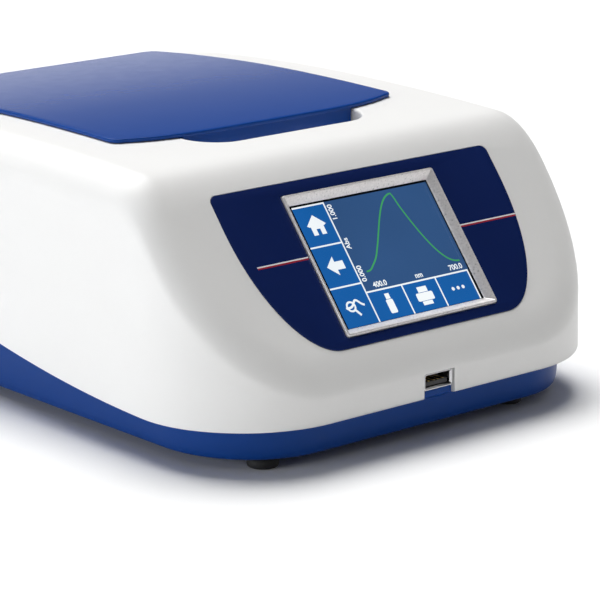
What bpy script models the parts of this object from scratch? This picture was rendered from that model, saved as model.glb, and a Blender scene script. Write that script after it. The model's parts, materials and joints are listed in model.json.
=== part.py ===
"""Bench-top UV/visible spectrophotometer, built from separate sub-parts.

Metres, +Z up. The origin is on the table under the middle of the case. +X is to the operator's
right, -Y is the front with the sloping display, and the sample lid hinges along the rear edge.
"""

import math

import bmesh
import bpy
from mathutils import Matrix, Vector

MM = 0.001
GAP = 0.3 * MM

# Case outline in plan
HALF_WIDTH = 103.6 * MM
HALF_DEPTH = 137.6 * MM
FRONT_CORNER = 49.5 * MM
REAR_CORNER = 34.0 * MM
CORNER_STEPS = 8

# Case in side view: crowned roof, sloping display facet, upright front
ROOF_Z = 107.3 * MM
ROOF_CREST_Y = 16.6 * MM
ROOF_FALL_FRONT = 0.28
ROOF_FALL_REAR = 0.45
FACET_TILT = math.radians(50.8)
FACET_Y = -110.3 * MM
FACET_Z = 69.0 * MM
FACET_DROP = 1.4 * MM
ROOF_BLEND = 10.0 * MM
SIDE_ROUND = 14.0 * MM
FRONT_ROUND = 7.0 * MM
REAR_ROUND = 8.0 * MM
WALL_LEAN = 0.015
SHELL_WALL = 2.5 * MM

# Joint line between the upper shell and the base: level at the front, rising to the rear
SPLIT_Z = 17.4 * MM
SPLIT_CURVE = 0.8
SPLIT_LINEAR_FROM = -5.0 * MM

# Base tray
BASE_BOTTOM_Z = 4.5 * MM
BASE_WALL = 2.5 * MM
BASE_INSET = SHELL_WALL + GAP
BASE_LIP = 5.0 * MM
HULL_SIDE_INSET = 9.4 * MM
HULL_FRONT_INSET = 6.6 * MM
HULL_REAR_INSET = 3.4 * MM
HULL_TAPER = 0.5 * MM
HULL_ROUND = 1.4 * MM
FOOT_RADIUS = 6.0 * MM
FOOT_PLACES = {"front_left": (-70.0 * MM, -117.5 * MM), "front_right": (55.0 * MM, -117.5 * MM),
               "rear_left": (-70.0 * MM, 108.0 * MM), "rear_right": (70.0 * MM, 108.0 * MM)}

# Sample lid
LID_HALF_WIDTH = 71.5 * MM
LID_FRONT_Y = -40.5 * MM
LID_FRONT_BOW = 9.5 * MM
LID_REAR_Y = 127.0 * MM
LID_PROUD = 1.9 * MM
LID_THICK = 1.6 * MM
FRONT_WALL_HALF_X = 43.0 * MM
FRONT_WALL_Y = -39.0 * MM
FRONT_WALL_THICK = 2.0 * MM
FRONT_WALL_FOOT_Z = 98.0 * MM
HINGE_Y = 121.0 * MM
HINGE_Z = 98.5 * MM
HINGE_X = 50.0 * MM
HINGE_PIN_RADIUS = 1.5 * MM
LUG_TOP_Z = 103.4 * MM
TROUGH_Z = 90.5 * MM
TROUGH_HALF_X = 64.0 * MM
TROUGH_Y = (110.0 * MM, 130.5 * MM)
SWING_HALF_X = 72.6 * MM
SWING_FRONT_Y = 118.5 * MM

# Screw posts between the shell and the base
POST_RADIUS = 4.0 * MM
POST_FOOT_Z = 18.3 * MM
POST_X = 72.0 * MM
POST_FRONT_Y = -88.0 * MM
POST_REAR_Y = 92.0 * MM

# Sample compartment
WELL_HALF_X = 61.0 * MM
WELL_FRONT_Y = -33.0 * MM
WELL_REAR_Y = 98.0 * MM
SCOOP_HALF_X = 43.6 * MM
SCOOP_FRONT_Y = -54.0 * MM
SCOOP_CORNER = 15.5 * MM
SCOOP_FLOOR_Z = 96.5 * MM
TUB_HALF_X = 46.0 * MM
TUB_FRONT_Y = -24.0 * MM
TUB_REAR_Y = 80.0 * MM
TUB_FLOOR_Z = 30.0 * MM
TUB_RIM_Z = 100.2 * MM
TUB_WALL = 2.0 * MM
BEAM_Y = 20.0 * MM
BEAM_Z = 52.0 * MM
OPTICS_HALF_X = 88.0 * MM
GRATING_X = 79.5 * MM
CUVETTE_SLOT = 12.6 * MM

# Display stack, measured along the facet's normal from the bezel's front face
BEZEL_SIZE = (76.5 * MM, 59.7 * MM)
SCREEN_SIZE = (70.2 * MM, 52.6 * MM)
BEZEL_DEPTH = 3.0 * MM
FASCIA_TOP = 35.3 * MM
FASCIA_BOTTOM = -34.2 * MM
FASCIA_HALF_WIDTH = 70.2 * MM
FASCIA_BOTTOM_HALF = 42.0 * MM
FASCIA_THICK = 0.9 * MM
FACET_LEVEL = -FACET_DROP * math.cos(FACET_TILT)

# Power switch: the rocker rests this far to the "off" side
ROCKER_TILT = math.radians(6.0)

# Front USB socket
USB_SIZE = (14.4 * MM, 13.0 * MM, 6.4 * MM)
USB_Z = 23.6 * MM
USB_RECESS = 0.7 * MM
NOTCH_HALF_X = 7.8 * MM
LEDGE_HALF_X = 7.4 * MM
LEDGE_FOOT_Z = 14.0 * MM
NOTCH_TOP_Z = 27.1 * MM

WHITE = ((0.86, 0.86, 0.85), 0.35, 0.0)
BLUE = ((0.035, 0.085, 0.33), 0.35, 0.0)
NAVY = ((0.012, 0.022, 0.10), 0.3, 0.0)
SILVER = ((0.62, 0.58, 0.56), 0.35, 0.6)
BLACK = ((0.015, 0.015, 0.016), 0.5, 0.0)
RUBBER = ((0.012, 0.012, 0.012), 0.8, 0.0)
STEEL = ((0.65, 0.65, 0.66), 0.28, 1.0)
ALUMINIUM = ((0.74, 0.75, 0.77), 0.4, 1.0)
GLASS = ((0.05, 0.10, 0.25), 0.05, 0.0)
OPTIC = ((0.75, 0.82, 0.86), 0.03, 0.0)
BOARD = ((0.02, 0.16, 0.07), 0.45, 0.0)

PARTS = "spectrophotometer"
CUTTERS = "cutters"


# ---------------------------------------------------------------- scene helpers

def clear_scene():
    for obj in list(bpy.data.objects):
        bpy.data.objects.remove(obj, do_unlink=True)


def collection(name):
    found = bpy.data.collections.get(name)
    if found is None:
        found = bpy.data.collections.new(name)
        bpy.context.scene.collection.children.link(found)
    return found


def material(name, finish):
    colour, roughness, metallic = finish
    found = bpy.data.materials.get(name)
    if found is None:
        found = bpy.data.materials.new(name)
        found.use_nodes = True
        shader = found.node_tree.nodes["Principled BSDF"]
        shader.inputs["Base Color"].default_value = (*colour, 1.0)
        shader.inputs["Roughness"].default_value = roughness
        shader.inputs["Metallic"].default_value = metallic
        found.diffuse_color = (*colour, 1.0)
    return found


def add_object(name, data, finish=None, parent=None):
    """Links a new object: a finished part with its own material, or a cutter when finish is None."""
    obj = bpy.data.objects.new(name, data)
    if finish is None:
        collection(CUTTERS).objects.link(obj)
        obj.hide_render = True
        obj.display_type = "WIRE"
    else:
        collection(PARTS).objects.link(obj)
        data.materials.append(material(name, finish))
    obj.parent = parent
    return obj


def add_empty(name, location, tilt=0.0):
    obj = bpy.data.objects.new(name, None)
    collection(PARTS).objects.link(obj)
    obj.location = location
    obj.rotation_euler = (tilt, 0.0, 0.0)
    return obj


def mesh_from(bm, name):
    mesh = bpy.data.meshes.new(name)
    bmesh.ops.recalc_face_normals(bm, faces=bm.faces)
    bm.to_mesh(mesh)
    bm.free()
    return mesh


def bevelled(obj, width):
    modifier = obj.modifiers.new("edges", "BEVEL")
    modifier.width = width
    modifier.segments = 2
    modifier.limit_method = "ANGLE"
    return obj


def combine(obj, other, operation):
    modifier = obj.modifiers.new(f"{operation.lower()} {other.name}", "BOOLEAN")
    modifier.operation = operation
    modifier.object = other
    modifier.solver = "EXACT"
    return obj


def cut(obj, *others):
    for other in others:
        combine(obj, other, "DIFFERENCE")
    return obj


def join(obj, *others):
    for other in others:
        combine(obj, other, "UNION")
    return obj


# ---------------------------------------------------------------- primitive shapes

def box(name, low, high, finish=None, parent=None, bevel=0.0):
    """A box between two corners, with its origin at its centre and its edges rounded by bevel."""
    low, high = Vector(low), Vector(high)
    bm = bmesh.new()
    bmesh.ops.create_cube(bm, size=1.0)
    bmesh.ops.scale(bm, vec=high - low, verts=bm.verts)
    obj = add_object(name, mesh_from(bm, name), finish, parent)
    obj.location = (low + high) / 2
    if bevel:
        bevelled(obj, bevel)
    return obj


def rod(name, radius, start, end, finish=None, parent=None, segments=20):
    """A cylinder from start to end, with its origin at its middle."""
    start, end = Vector(start), Vector(end)
    bm = bmesh.new()
    bmesh.ops.create_cone(bm, cap_ends=True, segments=segments, radius1=radius, radius2=radius,
                          depth=(end - start).length)
    obj = add_object(name, mesh_from(bm, name), finish, parent)
    obj.location = (start + end) / 2
    obj.rotation_euler = (end - start).to_track_quat("Z", "Y").to_euler()
    return obj


def turned(name, profile, finish=None, parent=None, steps=24):
    """A turned solid about local Z from (radius, height) points that run down the outer side."""
    mesh = bpy.data.meshes.new(name)
    points = [(radius, 0.0, height) for radius, height in profile]
    edges = [(index, index + 1) for index in range(len(points) - 1)]
    mesh.from_pydata(points, edges, [])
    obj = add_object(name, mesh, finish, parent)
    screw = obj.modifiers.new("turn", "SCREW")
    screw.steps = steps
    screw.render_steps = steps
    screw.use_merge_vertices = True
    screw.merge_threshold = 0.00001
    return obj


def plate(name, points, thickness, finish=None, parent=None):
    """A flat outline, filled and given a thickness, as a mesh about its local z = 0 plane."""
    curve = bpy.data.curves.new(f"{name} outline", "CURVE")
    curve.dimensions = "2D"
    curve.fill_mode = "BOTH"
    curve.extrude = thickness / 2
    spline = curve.splines.new("POLY")
    spline.points.add(len(points) - 1)
    for point, (x, y) in zip(spline.points, points):
        point.co = (x, y, 0.0, 1.0)
    spline.use_cyclic_u = True
    drawing = bpy.data.objects.new(f"{name} outline", curve)
    collection(CUTTERS).objects.link(drawing)
    evaluated = drawing.evaluated_get(bpy.context.evaluated_depsgraph_get())
    mesh = bpy.data.meshes.new_from_object(evaluated)
    bpy.data.objects.remove(drawing, do_unlink=True)
    bm = bmesh.new()
    bm.from_mesh(mesh)
    bmesh.ops.remove_doubles(bm, verts=bm.verts, dist=0.00001)
    bmesh.ops.recalc_face_normals(bm, faces=bm.faces)
    bm.to_mesh(mesh)
    bm.free()
    mesh.name = name
    return add_object(name, mesh, finish, parent)


def upright_plate(name, points, width, x, finish=None, parent=None):
    """A plate whose outline is given in Y and Z, standing across X."""
    obj = plate(name, points, width, finish, parent)
    obj.rotation_euler = (math.pi / 2, 0.0, math.pi / 2)
    obj.location.x = x
    return obj


def arc(centre, radius, start, end, steps):
    """Points on an arc; angles in degrees, counter-clockwise from +X."""
    angles = [math.radians(start + (end - start) * step / steps) for step in range(steps + 1)]
    return [(centre[0] + radius * math.cos(a), centre[1] + radius * math.sin(a)) for a in angles]


def rounded_rectangle(low, high, radius, steps=4):
    (x0, y0), (x1, y1) = low, high
    return (arc((x1 - radius, y1 - radius), radius, 0, 90, steps)
            + arc((x0 + radius, y1 - radius), radius, 90, 180, steps)
            + arc((x0 + radius, y0 + radius), radius, 180, 270, steps)
            + arc((x1 - radius, y0 + radius), radius, 270, 360, steps))


# ---------------------------------------------------------------- case surface

def roof_height(y):
    """Crowned roof, blended into the sloping facet."""
    fall = ROOF_FALL_FRONT if y < ROOF_CREST_Y else ROOF_FALL_REAR
    crown = ROOF_Z - fall * (y - ROOF_CREST_Y) ** 2
    facet = FACET_Z - FACET_DROP + math.tan(FACET_TILT) * (y - FACET_Y)
    overlap = max(0.0, ROOF_BLEND - abs(crown - facet))
    return min(crown, facet) - overlap ** 2 / (4 * ROOF_BLEND)


def split_height(y):
    """Height of the joint line: a parabola that runs on as a straight rise."""
    run = y - FACET_Y
    straight_from = SPLIT_LINEAR_FROM - FACET_Y
    if run <= 0:
        return SPLIT_Z
    if run <= straight_from:
        return SPLIT_Z + SPLIT_CURVE * run ** 2
    return SPLIT_Z + SPLIT_CURVE * straight_from * (2 * run - straight_from)


def half_outline(side_stations):
    """Right half of the case outline, front centre to rear centre, as (point, outward normal)."""
    outline = [(Vector((0.0, -HALF_DEPTH)), Vector((0.0, -1.0)))]
    corners = ((-HALF_DEPTH + FRONT_CORNER, FRONT_CORNER, -90.0),
               (HALF_DEPTH - REAR_CORNER, REAR_CORNER, 0.0))
    for centre_y, radius, start in corners:
        for step in range(CORNER_STEPS + 1):
            angle = math.radians(start + 90.0 * step / CORNER_STEPS)
            normal = Vector((math.cos(angle), math.sin(angle)))
            centre = Vector((HALF_WIDTH - radius, centre_y))
            outline.append((centre + radius * normal, normal))
        if start < 0:
            outline += [(Vector((HALF_WIDTH, y)), Vector((1.0, 0.0))) for y in side_stations]
    outline.append((Vector((0.0, HALF_DEPTH)), Vector((0.0, 1.0))))
    return outline


def lean_inset(z):
    return WALL_LEAN * (z - SPLIT_Z)


def lofted_half(name, rings, finish, downward=False):
    """Skins neighbouring rings of a half case, and closes the last ring across the middle."""
    bm = bmesh.new()
    rows = [[bm.verts.new(point) for point in ring] for ring in rings]
    for lower, upper in zip(rows, rows[1:]):
        for index in range(len(lower) - 1):
            bm.faces.new((lower[index], lower[index + 1], upper[index + 1], upper[index]))
    last = rows[-1]
    middle = [last[0]] + [bm.verts.new((0.0, v.co.y, v.co.z)) for v in last[2:-2]] + [last[-1]]
    side = [last[1]] + last[2:-2] + [last[-2]]
    for index in range(len(side) - 1):
        bm.faces.new((side[index], side[index + 1], middle[index + 1], middle[index]))
    if downward:
        bmesh.ops.reverse_faces(bm, faces=bm.faces)
    mesh = bpy.data.meshes.new(name)
    bm.to_mesh(mesh)
    bm.free()
    obj = add_object(name, mesh, finish)
    mirror = obj.modifiers.new("left half", "MIRROR")
    mirror.merge_threshold = 0.00001
    return obj


def shell_rings(outline):
    """Rings of the upper shell from the joint line up the wall and over the rounded shoulder."""
    wall_fractions = (0.0, 0.5, 1.0)
    shoulder_steps = 4
    rings = [[] for _ in range(len(wall_fractions) + shoulder_steps)]
    for point, normal in outline:
        end_round = FRONT_ROUND if normal.y < 0 else REAR_ROUND
        radius = SIDE_ROUND + (end_round - SIDE_ROUND) * normal.y ** 2
        low = split_height(point.y)
        high = roof_height(point.y) - radius
        stations = []
        for fraction in wall_fractions:
            stations.append((0.0, low + (high - low) * fraction))
        for step in range(1, shoulder_steps + 1):
            angle = math.pi / 2 * step / shoulder_steps
            inset = radius * (1 - math.cos(angle))
            y = point.y - normal.y * inset
            stations.append((inset, roof_height(y) - radius * (1 - math.sin(angle))))
        for ring, (inset, z) in zip(rings, stations):
            place = point - normal * (inset + lean_inset(z))
            ring.append((place.x, place.y, z))
    return rings


def hull_inset(normal, depth):
    """Inset of the base's outer face, with depth from 0 at the joint line to 1 at the underside."""
    end = HULL_FRONT_INSET if normal.y < 0 else HULL_REAR_INSET
    inset = HULL_SIDE_INSET + (end - HULL_SIDE_INSET) * normal.y ** 2
    return inset + HULL_TAPER * depth + HULL_ROUND * (1 - math.sqrt(1 - depth ** 8))


def base_rings(outline):
    """Rings of the base tray: a lip inside the shell, a step at the joint line, then the hull."""
    lip_top, lip_foot, step = [], [], []
    for point, normal in outline:
        joint = split_height(point.y)
        for ring, z, inset in ((lip_top, joint + BASE_LIP, BASE_INSET),
                               (lip_foot, joint, BASE_INSET),
                               (step, joint, hull_inset(normal, 0.0))):
            place = point - normal * (inset + lean_inset(z))
            ring.append((place.x, place.y, z))
    rings = [lip_top, lip_foot, step]
    for depth in (0.1, 0.6, 0.85, 0.96, 1.0):
        z = SPLIT_Z - (SPLIT_Z - BASE_BOTTOM_Z) * depth
        rings.append([(*(point - normal * hull_inset(normal, depth)), z)
                      for point, normal in outline])
    return rings


def solidify(obj, thickness):
    modifier = obj.modifiers.new("wall", "SOLIDIFY")
    modifier.thickness = thickness
    modifier.offset = -1.0
    modifier.use_even_offset = True
    return obj


# ---------------------------------------------------------------- case parts

def fascia_outline():
    """Navy panel: straight top, sides that curve in to a straight bottom edge."""
    straight_to = 22.0 * MM
    corner = 3.0 * MM
    steps = 9
    side = arc((FASCIA_HALF_WIDTH - corner, FASCIA_TOP - corner), corner, 90, 0, 3)
    for step in range(steps + 1):
        angle = math.pi / 2 * step / steps
        x = FASCIA_BOTTOM_HALF + (FASCIA_HALF_WIDTH - FASCIA_BOTTOM_HALF) * math.cos(angle)
        side.append((x, straight_to - (straight_to - FASCIA_BOTTOM) * math.sin(angle)))
    return side + [(-x, y) for x, y in reversed(side)]


def scoop_outline():
    """Finger scoop in front of the lid, open to the well behind it."""
    corner = SCOOP_CORNER
    right = SCOOP_HALF_X
    front = SCOOP_FRONT_Y
    back = WELL_FRONT_Y + 2.0 * MM
    return ([(right, back), (-right, back)]
            + arc((-right + corner, front + corner), corner, 180, 270, 5)
            + arc((right - corner, front + corner), corner, 270, 360, 5))


def under_roof_block(name, half_x, front, rear, bottom):
    """A block below the roof whose upper side runs inside the shell's wall."""
    steps = 5
    lines = [front + (rear - front) * step / steps for step in range(steps, -1, -1)]
    outline = [(front, bottom), (rear, bottom)]
    outline += [(y, roof_height(y) - SHELL_WALL / 2) for y in lines]
    return upright_plate(name, outline, 2 * half_x, 0.0)


def add_upper_shell(outline, facet):
    shell = lofted_half("upper_shell", shell_rings(outline), WHITE)
    solidify(shell, SHELL_WALL)
    join(shell, under_roof_block("scoop pad", 48 * MM, -62 * MM, -30 * MM, 94 * MM),
         under_roof_block("hinge pad", SWING_HALF_X + SHELL_WALL, 107 * MM, 132 * MM, 88 * MM))
    for index, (x, y) in enumerate(screw_places()):
        lowest_roof = min(roof_height(y - POST_RADIUS), roof_height(y + POST_RADIUS))
        join(shell, rod(f"post {index}", POST_RADIUS, (x, y, POST_FOOT_Z),
                        (x, y, lowest_roof - SHELL_WALL / 2), segments=12))
    scoop = plate("scoop cut", scoop_outline(), 40 * MM)
    scoop.location.z = SCOOP_FLOOR_Z + 20 * MM
    well = plate("well cut", rounded_rectangle((-WELL_HALF_X, WELL_FRONT_Y),
                                               (WELL_HALF_X, WELL_REAR_Y), 5 * MM), 60 * MM)
    well.location.z = 110 * MM
    front, rear = TROUGH_Y
    trough = box("hinge trough", (-TROUGH_HALF_X, front, TROUGH_Z),
                 (TROUGH_HALF_X, rear, 120 * MM))
    swing = box("lid swing room", (-SWING_HALF_X, SWING_FRONT_Y, TROUGH_Z),
                (SWING_HALF_X, rear, 120 * MM))
    pocket_depth = FASCIA_THICK + GAP
    pocket = plate("fascia pocket", fascia_outline(), 20 * MM, None, facet)
    pocket.location.z = FACET_LEVEL - pocket_depth + 10 * MM
    half_x = BEZEL_SIZE[0] / 2 + GAP
    half_y = BEZEL_SIZE[1] / 2 + GAP
    window = box("display window", (-half_x, -half_y, -12 * MM), (half_x, half_y, 12 * MM),
                 None, facet)
    notch = box("usb notch", (-NOTCH_HALF_X, -150 * MM, 0), (NOTCH_HALF_X, -125 * MM, NOTCH_TOP_Z))
    cut(shell, scoop, well, trough, swing, pocket, window, notch)
    for index, (x, y) in enumerate(screw_places()):
        cut(shell, rod(f"post hole {index}", 1.9 * MM, (x, y, 0), (x, y, 36 * MM), segments=12))


def add_base_tray(outline):
    base = lofted_half("base_tray", base_rings(outline), BLUE, True)
    solidify(base, BASE_WALL)
    for index, (x, y) in enumerate(screw_places()):
        boss = rod(f"screw boss {index}", 4 * MM, (x, y, BASE_BOTTOM_Z + 1 * MM), (x, y, 18 * MM),
                   segments=12)
        join(base, boss)
    notch_floor = USB_Z - USB_SIZE[2] / 2 - GAP
    socket = box("socket gap", (-NOTCH_HALF_X - 0.4 * MM, -150 * MM, notch_floor),
                 (NOTCH_HALF_X + 0.4 * MM, -125 * MM, 40 * MM))
    panel = box("rear panel opening", (-58 * MM, 128 * MM, 20 * MM), (58 * MM, 150 * MM, 46 * MM))
    front = -HALF_DEPTH + USB_RECESS + 0.7 * MM
    wall = -HALF_DEPTH + HULL_FRONT_INSET + BASE_WALL / 2
    ledge = [(wall, LEDGE_FOOT_Z), (wall, notch_floor), (front, notch_floor),
             (front, SPLIT_Z + 0.2 * MM)]
    join(base, upright_plate("usb ledge", ledge, 2 * LEDGE_HALF_X, 0.0))
    cut(base, socket, panel)
    for index, (x, y) in enumerate(screw_places()):
        cut(base, rod(f"screw hole {index}", 1.9 * MM, (x, y, 0), (x, y, 30 * MM), segments=12),
            rod(f"screw head hole {index}", 3.4 * MM, (x, y, 0), (x, y, 8.0 * MM), segments=12))


def screw_places():
    return [(x, y) for x in (-POST_X, POST_X) for y in (POST_FRONT_Y, POST_REAR_Y)]


def add_case_screws():
    for (x, y), place in zip(screw_places(), ("front_left", "rear_left", "front_right",
                                              "rear_right")):
        head = 3.0 * MM
        shank = 1.5 * MM
        top = 33.0 * MM
        profile = [(0.0, top), (shank, top), (shank, 7.4 * MM), (head, 7.4 * MM),
                   (head, 5.6 * MM), (1.2 * MM, 5.6 * MM), (1.2 * MM, 6.6 * MM), (0.0, 6.6 * MM)]
        screw = turned(f"case_screw_{place}", profile, STEEL, None, 10)
        screw.location = (x, y, 0.0)


def add_feet():
    profile = [(0.0, BASE_BOTTOM_Z - GAP), (FOOT_RADIUS - 0.8 * MM, BASE_BOTTOM_Z - GAP),
               (FOOT_RADIUS, 3.4 * MM), (FOOT_RADIUS, 0.8 * MM), (FOOT_RADIUS - 0.8 * MM, 0.0),
               (0.0, 0.0)]
    for place, (x, y) in FOOT_PLACES.items():
        foot = turned(f"foot_{place}", profile, RUBBER, None, 20)
        foot.location = (x, y, 0.0)


# ---------------------------------------------------------------- display

def add_display(facet):
    fascia = plate("fascia_panel", fascia_outline(), FASCIA_THICK, NAVY, facet)
    fascia.location.z = FACET_LEVEL - FASCIA_THICK / 2
    half_x, half_y = BEZEL_SIZE[0] / 2, BEZEL_SIZE[1] / 2
    cut(fascia, box("fascia window", (-half_x - GAP, -half_y - GAP, -5 * MM),
                    (half_x + GAP, half_y + GAP, 5 * MM), None, facet))

    bezel = box("display_bezel", (-half_x, -half_y, -BEZEL_DEPTH), (half_x, half_y, 0), SILVER,
                facet, 0.4 * MM)
    rim = 0.7 * MM
    overshoot = 1.0 * MM
    bm = bmesh.new()
    bmesh.ops.create_cube(bm, size=2.0)
    slope = ((half_x - rim) - SCREEN_SIZE[0] / 2) / BEZEL_DEPTH
    for vert in bm.verts:
        depth = overshoot if vert.co.z > 0 else -BEZEL_DEPTH - overshoot
        spread = slope * (depth + BEZEL_DEPTH)
        vert.co = (vert.co.x * (SCREEN_SIZE[0] / 2 + spread),
                   vert.co.y * (SCREEN_SIZE[1] / 2 + spread), depth)
    cut(bezel, add_object("bezel opening", mesh_from(bm, "bezel opening"), None, facet))

    behind_wall = FACET_LEVEL - SHELL_WALL - 2 * GAP
    layers = (("touch_glass", (80, 62), behind_wall, 1.1 * MM, GLASS),
              ("lcd_module", (77, 64), behind_wall - 1.4 * MM, 3.2 * MM, ALUMINIUM),
              ("display_board", (92, 66), behind_wall - 6.0 * MM, 1.6 * MM, BOARD))
    for name, (width, height), top, thickness, finish in layers:
        box(name, (-width / 2 * MM, -height / 2 * MM, top - thickness),
            (width / 2 * MM, height / 2 * MM, top), finish, facet)


# ---------------------------------------------------------------- lid and hinge

def lid_half_outline():
    """Right half of the lid, front centre to rear centre, counter-clockwise seen from above."""
    corner = 5.0 * MM
    side_x = LID_HALF_WIDTH
    points = []
    steps = 6
    for step in range(steps + 1):
        x = (side_x - corner) * step / steps
        points.append((x, LID_FRONT_Y + LID_FRONT_BOW * (x / side_x) ** 4))
    shoulder_y = points[-1][1] + corner
    points += arc((side_x - corner, shoulder_y), corner, -70, 0, 3)
    rear = LID_REAR_Y - corner
    points += [(side_x, shoulder_y + (rear - shoulder_y) * step / 9) for step in range(1, 9)]
    points += arc((side_x - corner, rear), corner, 0, 90, 3)
    return points + [(0.0, LID_REAR_Y)]


def add_lid(hinge):
    """Crowned cover plate that follows the roof, with a skirt below it and two hinge lugs."""
    outline = lid_half_outline()
    bm = bmesh.new()
    proud = LID_PROUD - LID_THICK
    edge = [bm.verts.new((x, y, roof_height(y) + proud)) for x, y in outline]
    middle = [bm.verts.new((0.0, v.co.y, v.co.z)) for v in edge[1:-2]]
    middle = [edge[0], *middle, edge[-1]]
    for index in range(len(middle) - 1):
        corners = [edge[index], edge[index + 1], middle[index + 1], middle[index]]
        bm.faces.new(list(dict.fromkeys(corners)))
    mesh = bpy.data.meshes.new("lid")
    bm.to_mesh(mesh)
    bm.free()
    mesh.transform(Matrix.Translation(-hinge.location))
    lid = add_object("lid", mesh, BLUE, hinge)
    mirror = lid.modifiers.new("left half", "MIRROR")
    mirror.merge_threshold = 0.00001
    wall = lid.modifiers.new("wall", "SOLIDIFY")
    wall.thickness = LID_THICK
    wall.offset = 1.0
    wall.use_even_offset = True

    lug_radius = 4.0 * MM
    lug_outline = (arc((HINGE_Y, HINGE_Z), lug_radius, 180, 360, 8)
                   + [(HINGE_Y + lug_radius, LUG_TOP_Z), (HINGE_Y - lug_radius, LUG_TOP_Z)])
    lugs = [upright_plate(f"lid lug {x}", lug_outline, 10 * MM, x) for x in (-HINGE_X, HINGE_X)]
    join(lid, lid_skirt(), *lugs)
    cut(lid, rod("lid pin hole", HINGE_PIN_RADIUS + GAP, (-70 * MM, HINGE_Y, HINGE_Z),
                 (70 * MM, HINGE_Y, HINGE_Z), segments=16))


def lid_skirt():
    """Light-tight wall below the lid: a frame in the well and a deeper front wall in the scoop."""
    wall = 1.8 * MM
    half_x = WELL_HALF_X - 2.5 * MM
    front, rear = WELL_FRONT_Y + 2 * MM, WELL_REAR_Y - 2 * MM
    skirt = plate("lid skirt", rounded_rectangle((-half_x, front), (half_x, rear), 4 * MM), 10 * MM)
    skirt.location.z = TUB_RIM_Z + 0.8 * MM + 5 * MM
    hollow = plate("lid skirt hollow", rounded_rectangle(
        (-half_x + wall, front + wall), (half_x - wall, rear - wall), 2.5 * MM), 40 * MM)
    hollow.location.z = 110 * MM
    cut(skirt, hollow)
    scoop_wall = box("lid front wall", (-FRONT_WALL_HALF_X, FRONT_WALL_Y, FRONT_WALL_FOOT_Z),
                     (FRONT_WALL_HALF_X, FRONT_WALL_Y + FRONT_WALL_THICK, 112 * MM))
    tie = box("lid front tie", (-20 * MM, FRONT_WALL_Y + FRONT_WALL_THICK / 2, 101.5 * MM),
              (20 * MM, -30 * MM, 103.4 * MM))
    join(skirt, scoop_wall, tie)
    inside_plate = LID_PROUD - LID_THICK / 2
    lines = [(-50 + 10 * step) * MM for step in range(17)]
    sky = [(y, roof_height(y) + inside_plate) for y in lines]
    sky += [(lines[-1], 130 * MM), (lines[0], 130 * MM)]
    return cut(skirt, upright_plate("above the skirt", sky, 150 * MM, 0.0))


def add_hinges():
    """A steel pin and a saddle bracket at each side, standing in the trough under the lid's rear."""
    for side, place in ((-1, "left"), (1, "right")):
        x = side * HINGE_X
        base_top = TROUGH_Z + GAP + 1.2 * MM
        bracket = box(f"hinge_bracket_{place}", (x - 9 * MM, HINGE_Y - 6 * MM, TROUGH_Z + GAP),
                      (x + 9 * MM, HINGE_Y + 2.6 * MM, HINGE_Z + 3 * MM), STEEL, None, 0.5 * MM)
        cut(bracket, box(f"bracket gap {place}", (x - 5.6 * MM, HINGE_Y - 9 * MM, base_top),
                         (x + 5.6 * MM, HINGE_Y + 9 * MM, HINGE_Z + 9 * MM)),
            rod(f"bracket hole {place}", HINGE_PIN_RADIUS + GAP, (x - 12 * MM, HINGE_Y, HINGE_Z),
                (x + 12 * MM, HINGE_Y, HINGE_Z), segments=16))
        rod(f"hinge_pin_{place}", HINGE_PIN_RADIUS, (x - 10 * MM, HINGE_Y, HINGE_Z),
            (x + 10 * MM, HINGE_Y, HINGE_Z), STEEL, segments=16)


# ---------------------------------------------------------------- sample compartment

def add_lid_sensing(hinge):
    """A magnet under the lid and the closed-lid sensor below the chamber's flange."""
    x, y = -51 * MM, -23 * MM
    plate_low = roof_height(y) + LID_PROUD - LID_THICK - GAP
    rod("lid_magnet", 3 * MM, (x, y - HINGE_Y, plate_low - 3 * MM - HINGE_Z),
        (x, y - HINGE_Y, plate_low - HINGE_Z), STEEL, hinge, segments=16)
    low = TUB_RIM_Z - 2.4 * MM - GAP
    box("lid_sensor", (x - 3 * MM, y - 4 * MM, low - 5 * MM), (x + 3 * MM, y + 4 * MM, low), BLACK)


def add_sample_chamber():
    wall = TUB_WALL
    tub = box("sample_chamber", (-TUB_HALF_X, TUB_FRONT_Y, TUB_FLOOR_Z),
              (TUB_HALF_X, TUB_REAR_Y, TUB_RIM_Z - 1 * MM), BLACK)
    flange = box("chamber flange", (-64 * MM, TUB_FRONT_Y - 5 * MM, TUB_RIM_Z - 2.4 * MM),
                 (64 * MM, 102 * MM, TUB_RIM_Z))
    join(tub, flange)
    cut(tub, box("chamber hollow", (-TUB_HALF_X + wall, TUB_FRONT_Y + wall, TUB_FLOOR_Z + wall),
                 (TUB_HALF_X - wall, TUB_REAR_Y - wall, 130 * MM)),
        rod("beam port", 5.3 * MM, (-60 * MM, BEAM_Y, BEAM_Z), (60 * MM, BEAM_Y, BEAM_Z),
            segments=20))


def add_beam_windows():
    """Fused-silica window lenses in the chamber's two side walls, on the optical axis."""
    for side, name in ((-1, "entrance_window"), (1, "exit_window")):
        outer = side * TUB_HALF_X
        rod(name, 5.0 * MM, (outer - side * TUB_WALL, BEAM_Y, BEAM_Z), (outer, BEAM_Y, BEAM_Z),
            OPTIC, segments=20)


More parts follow.
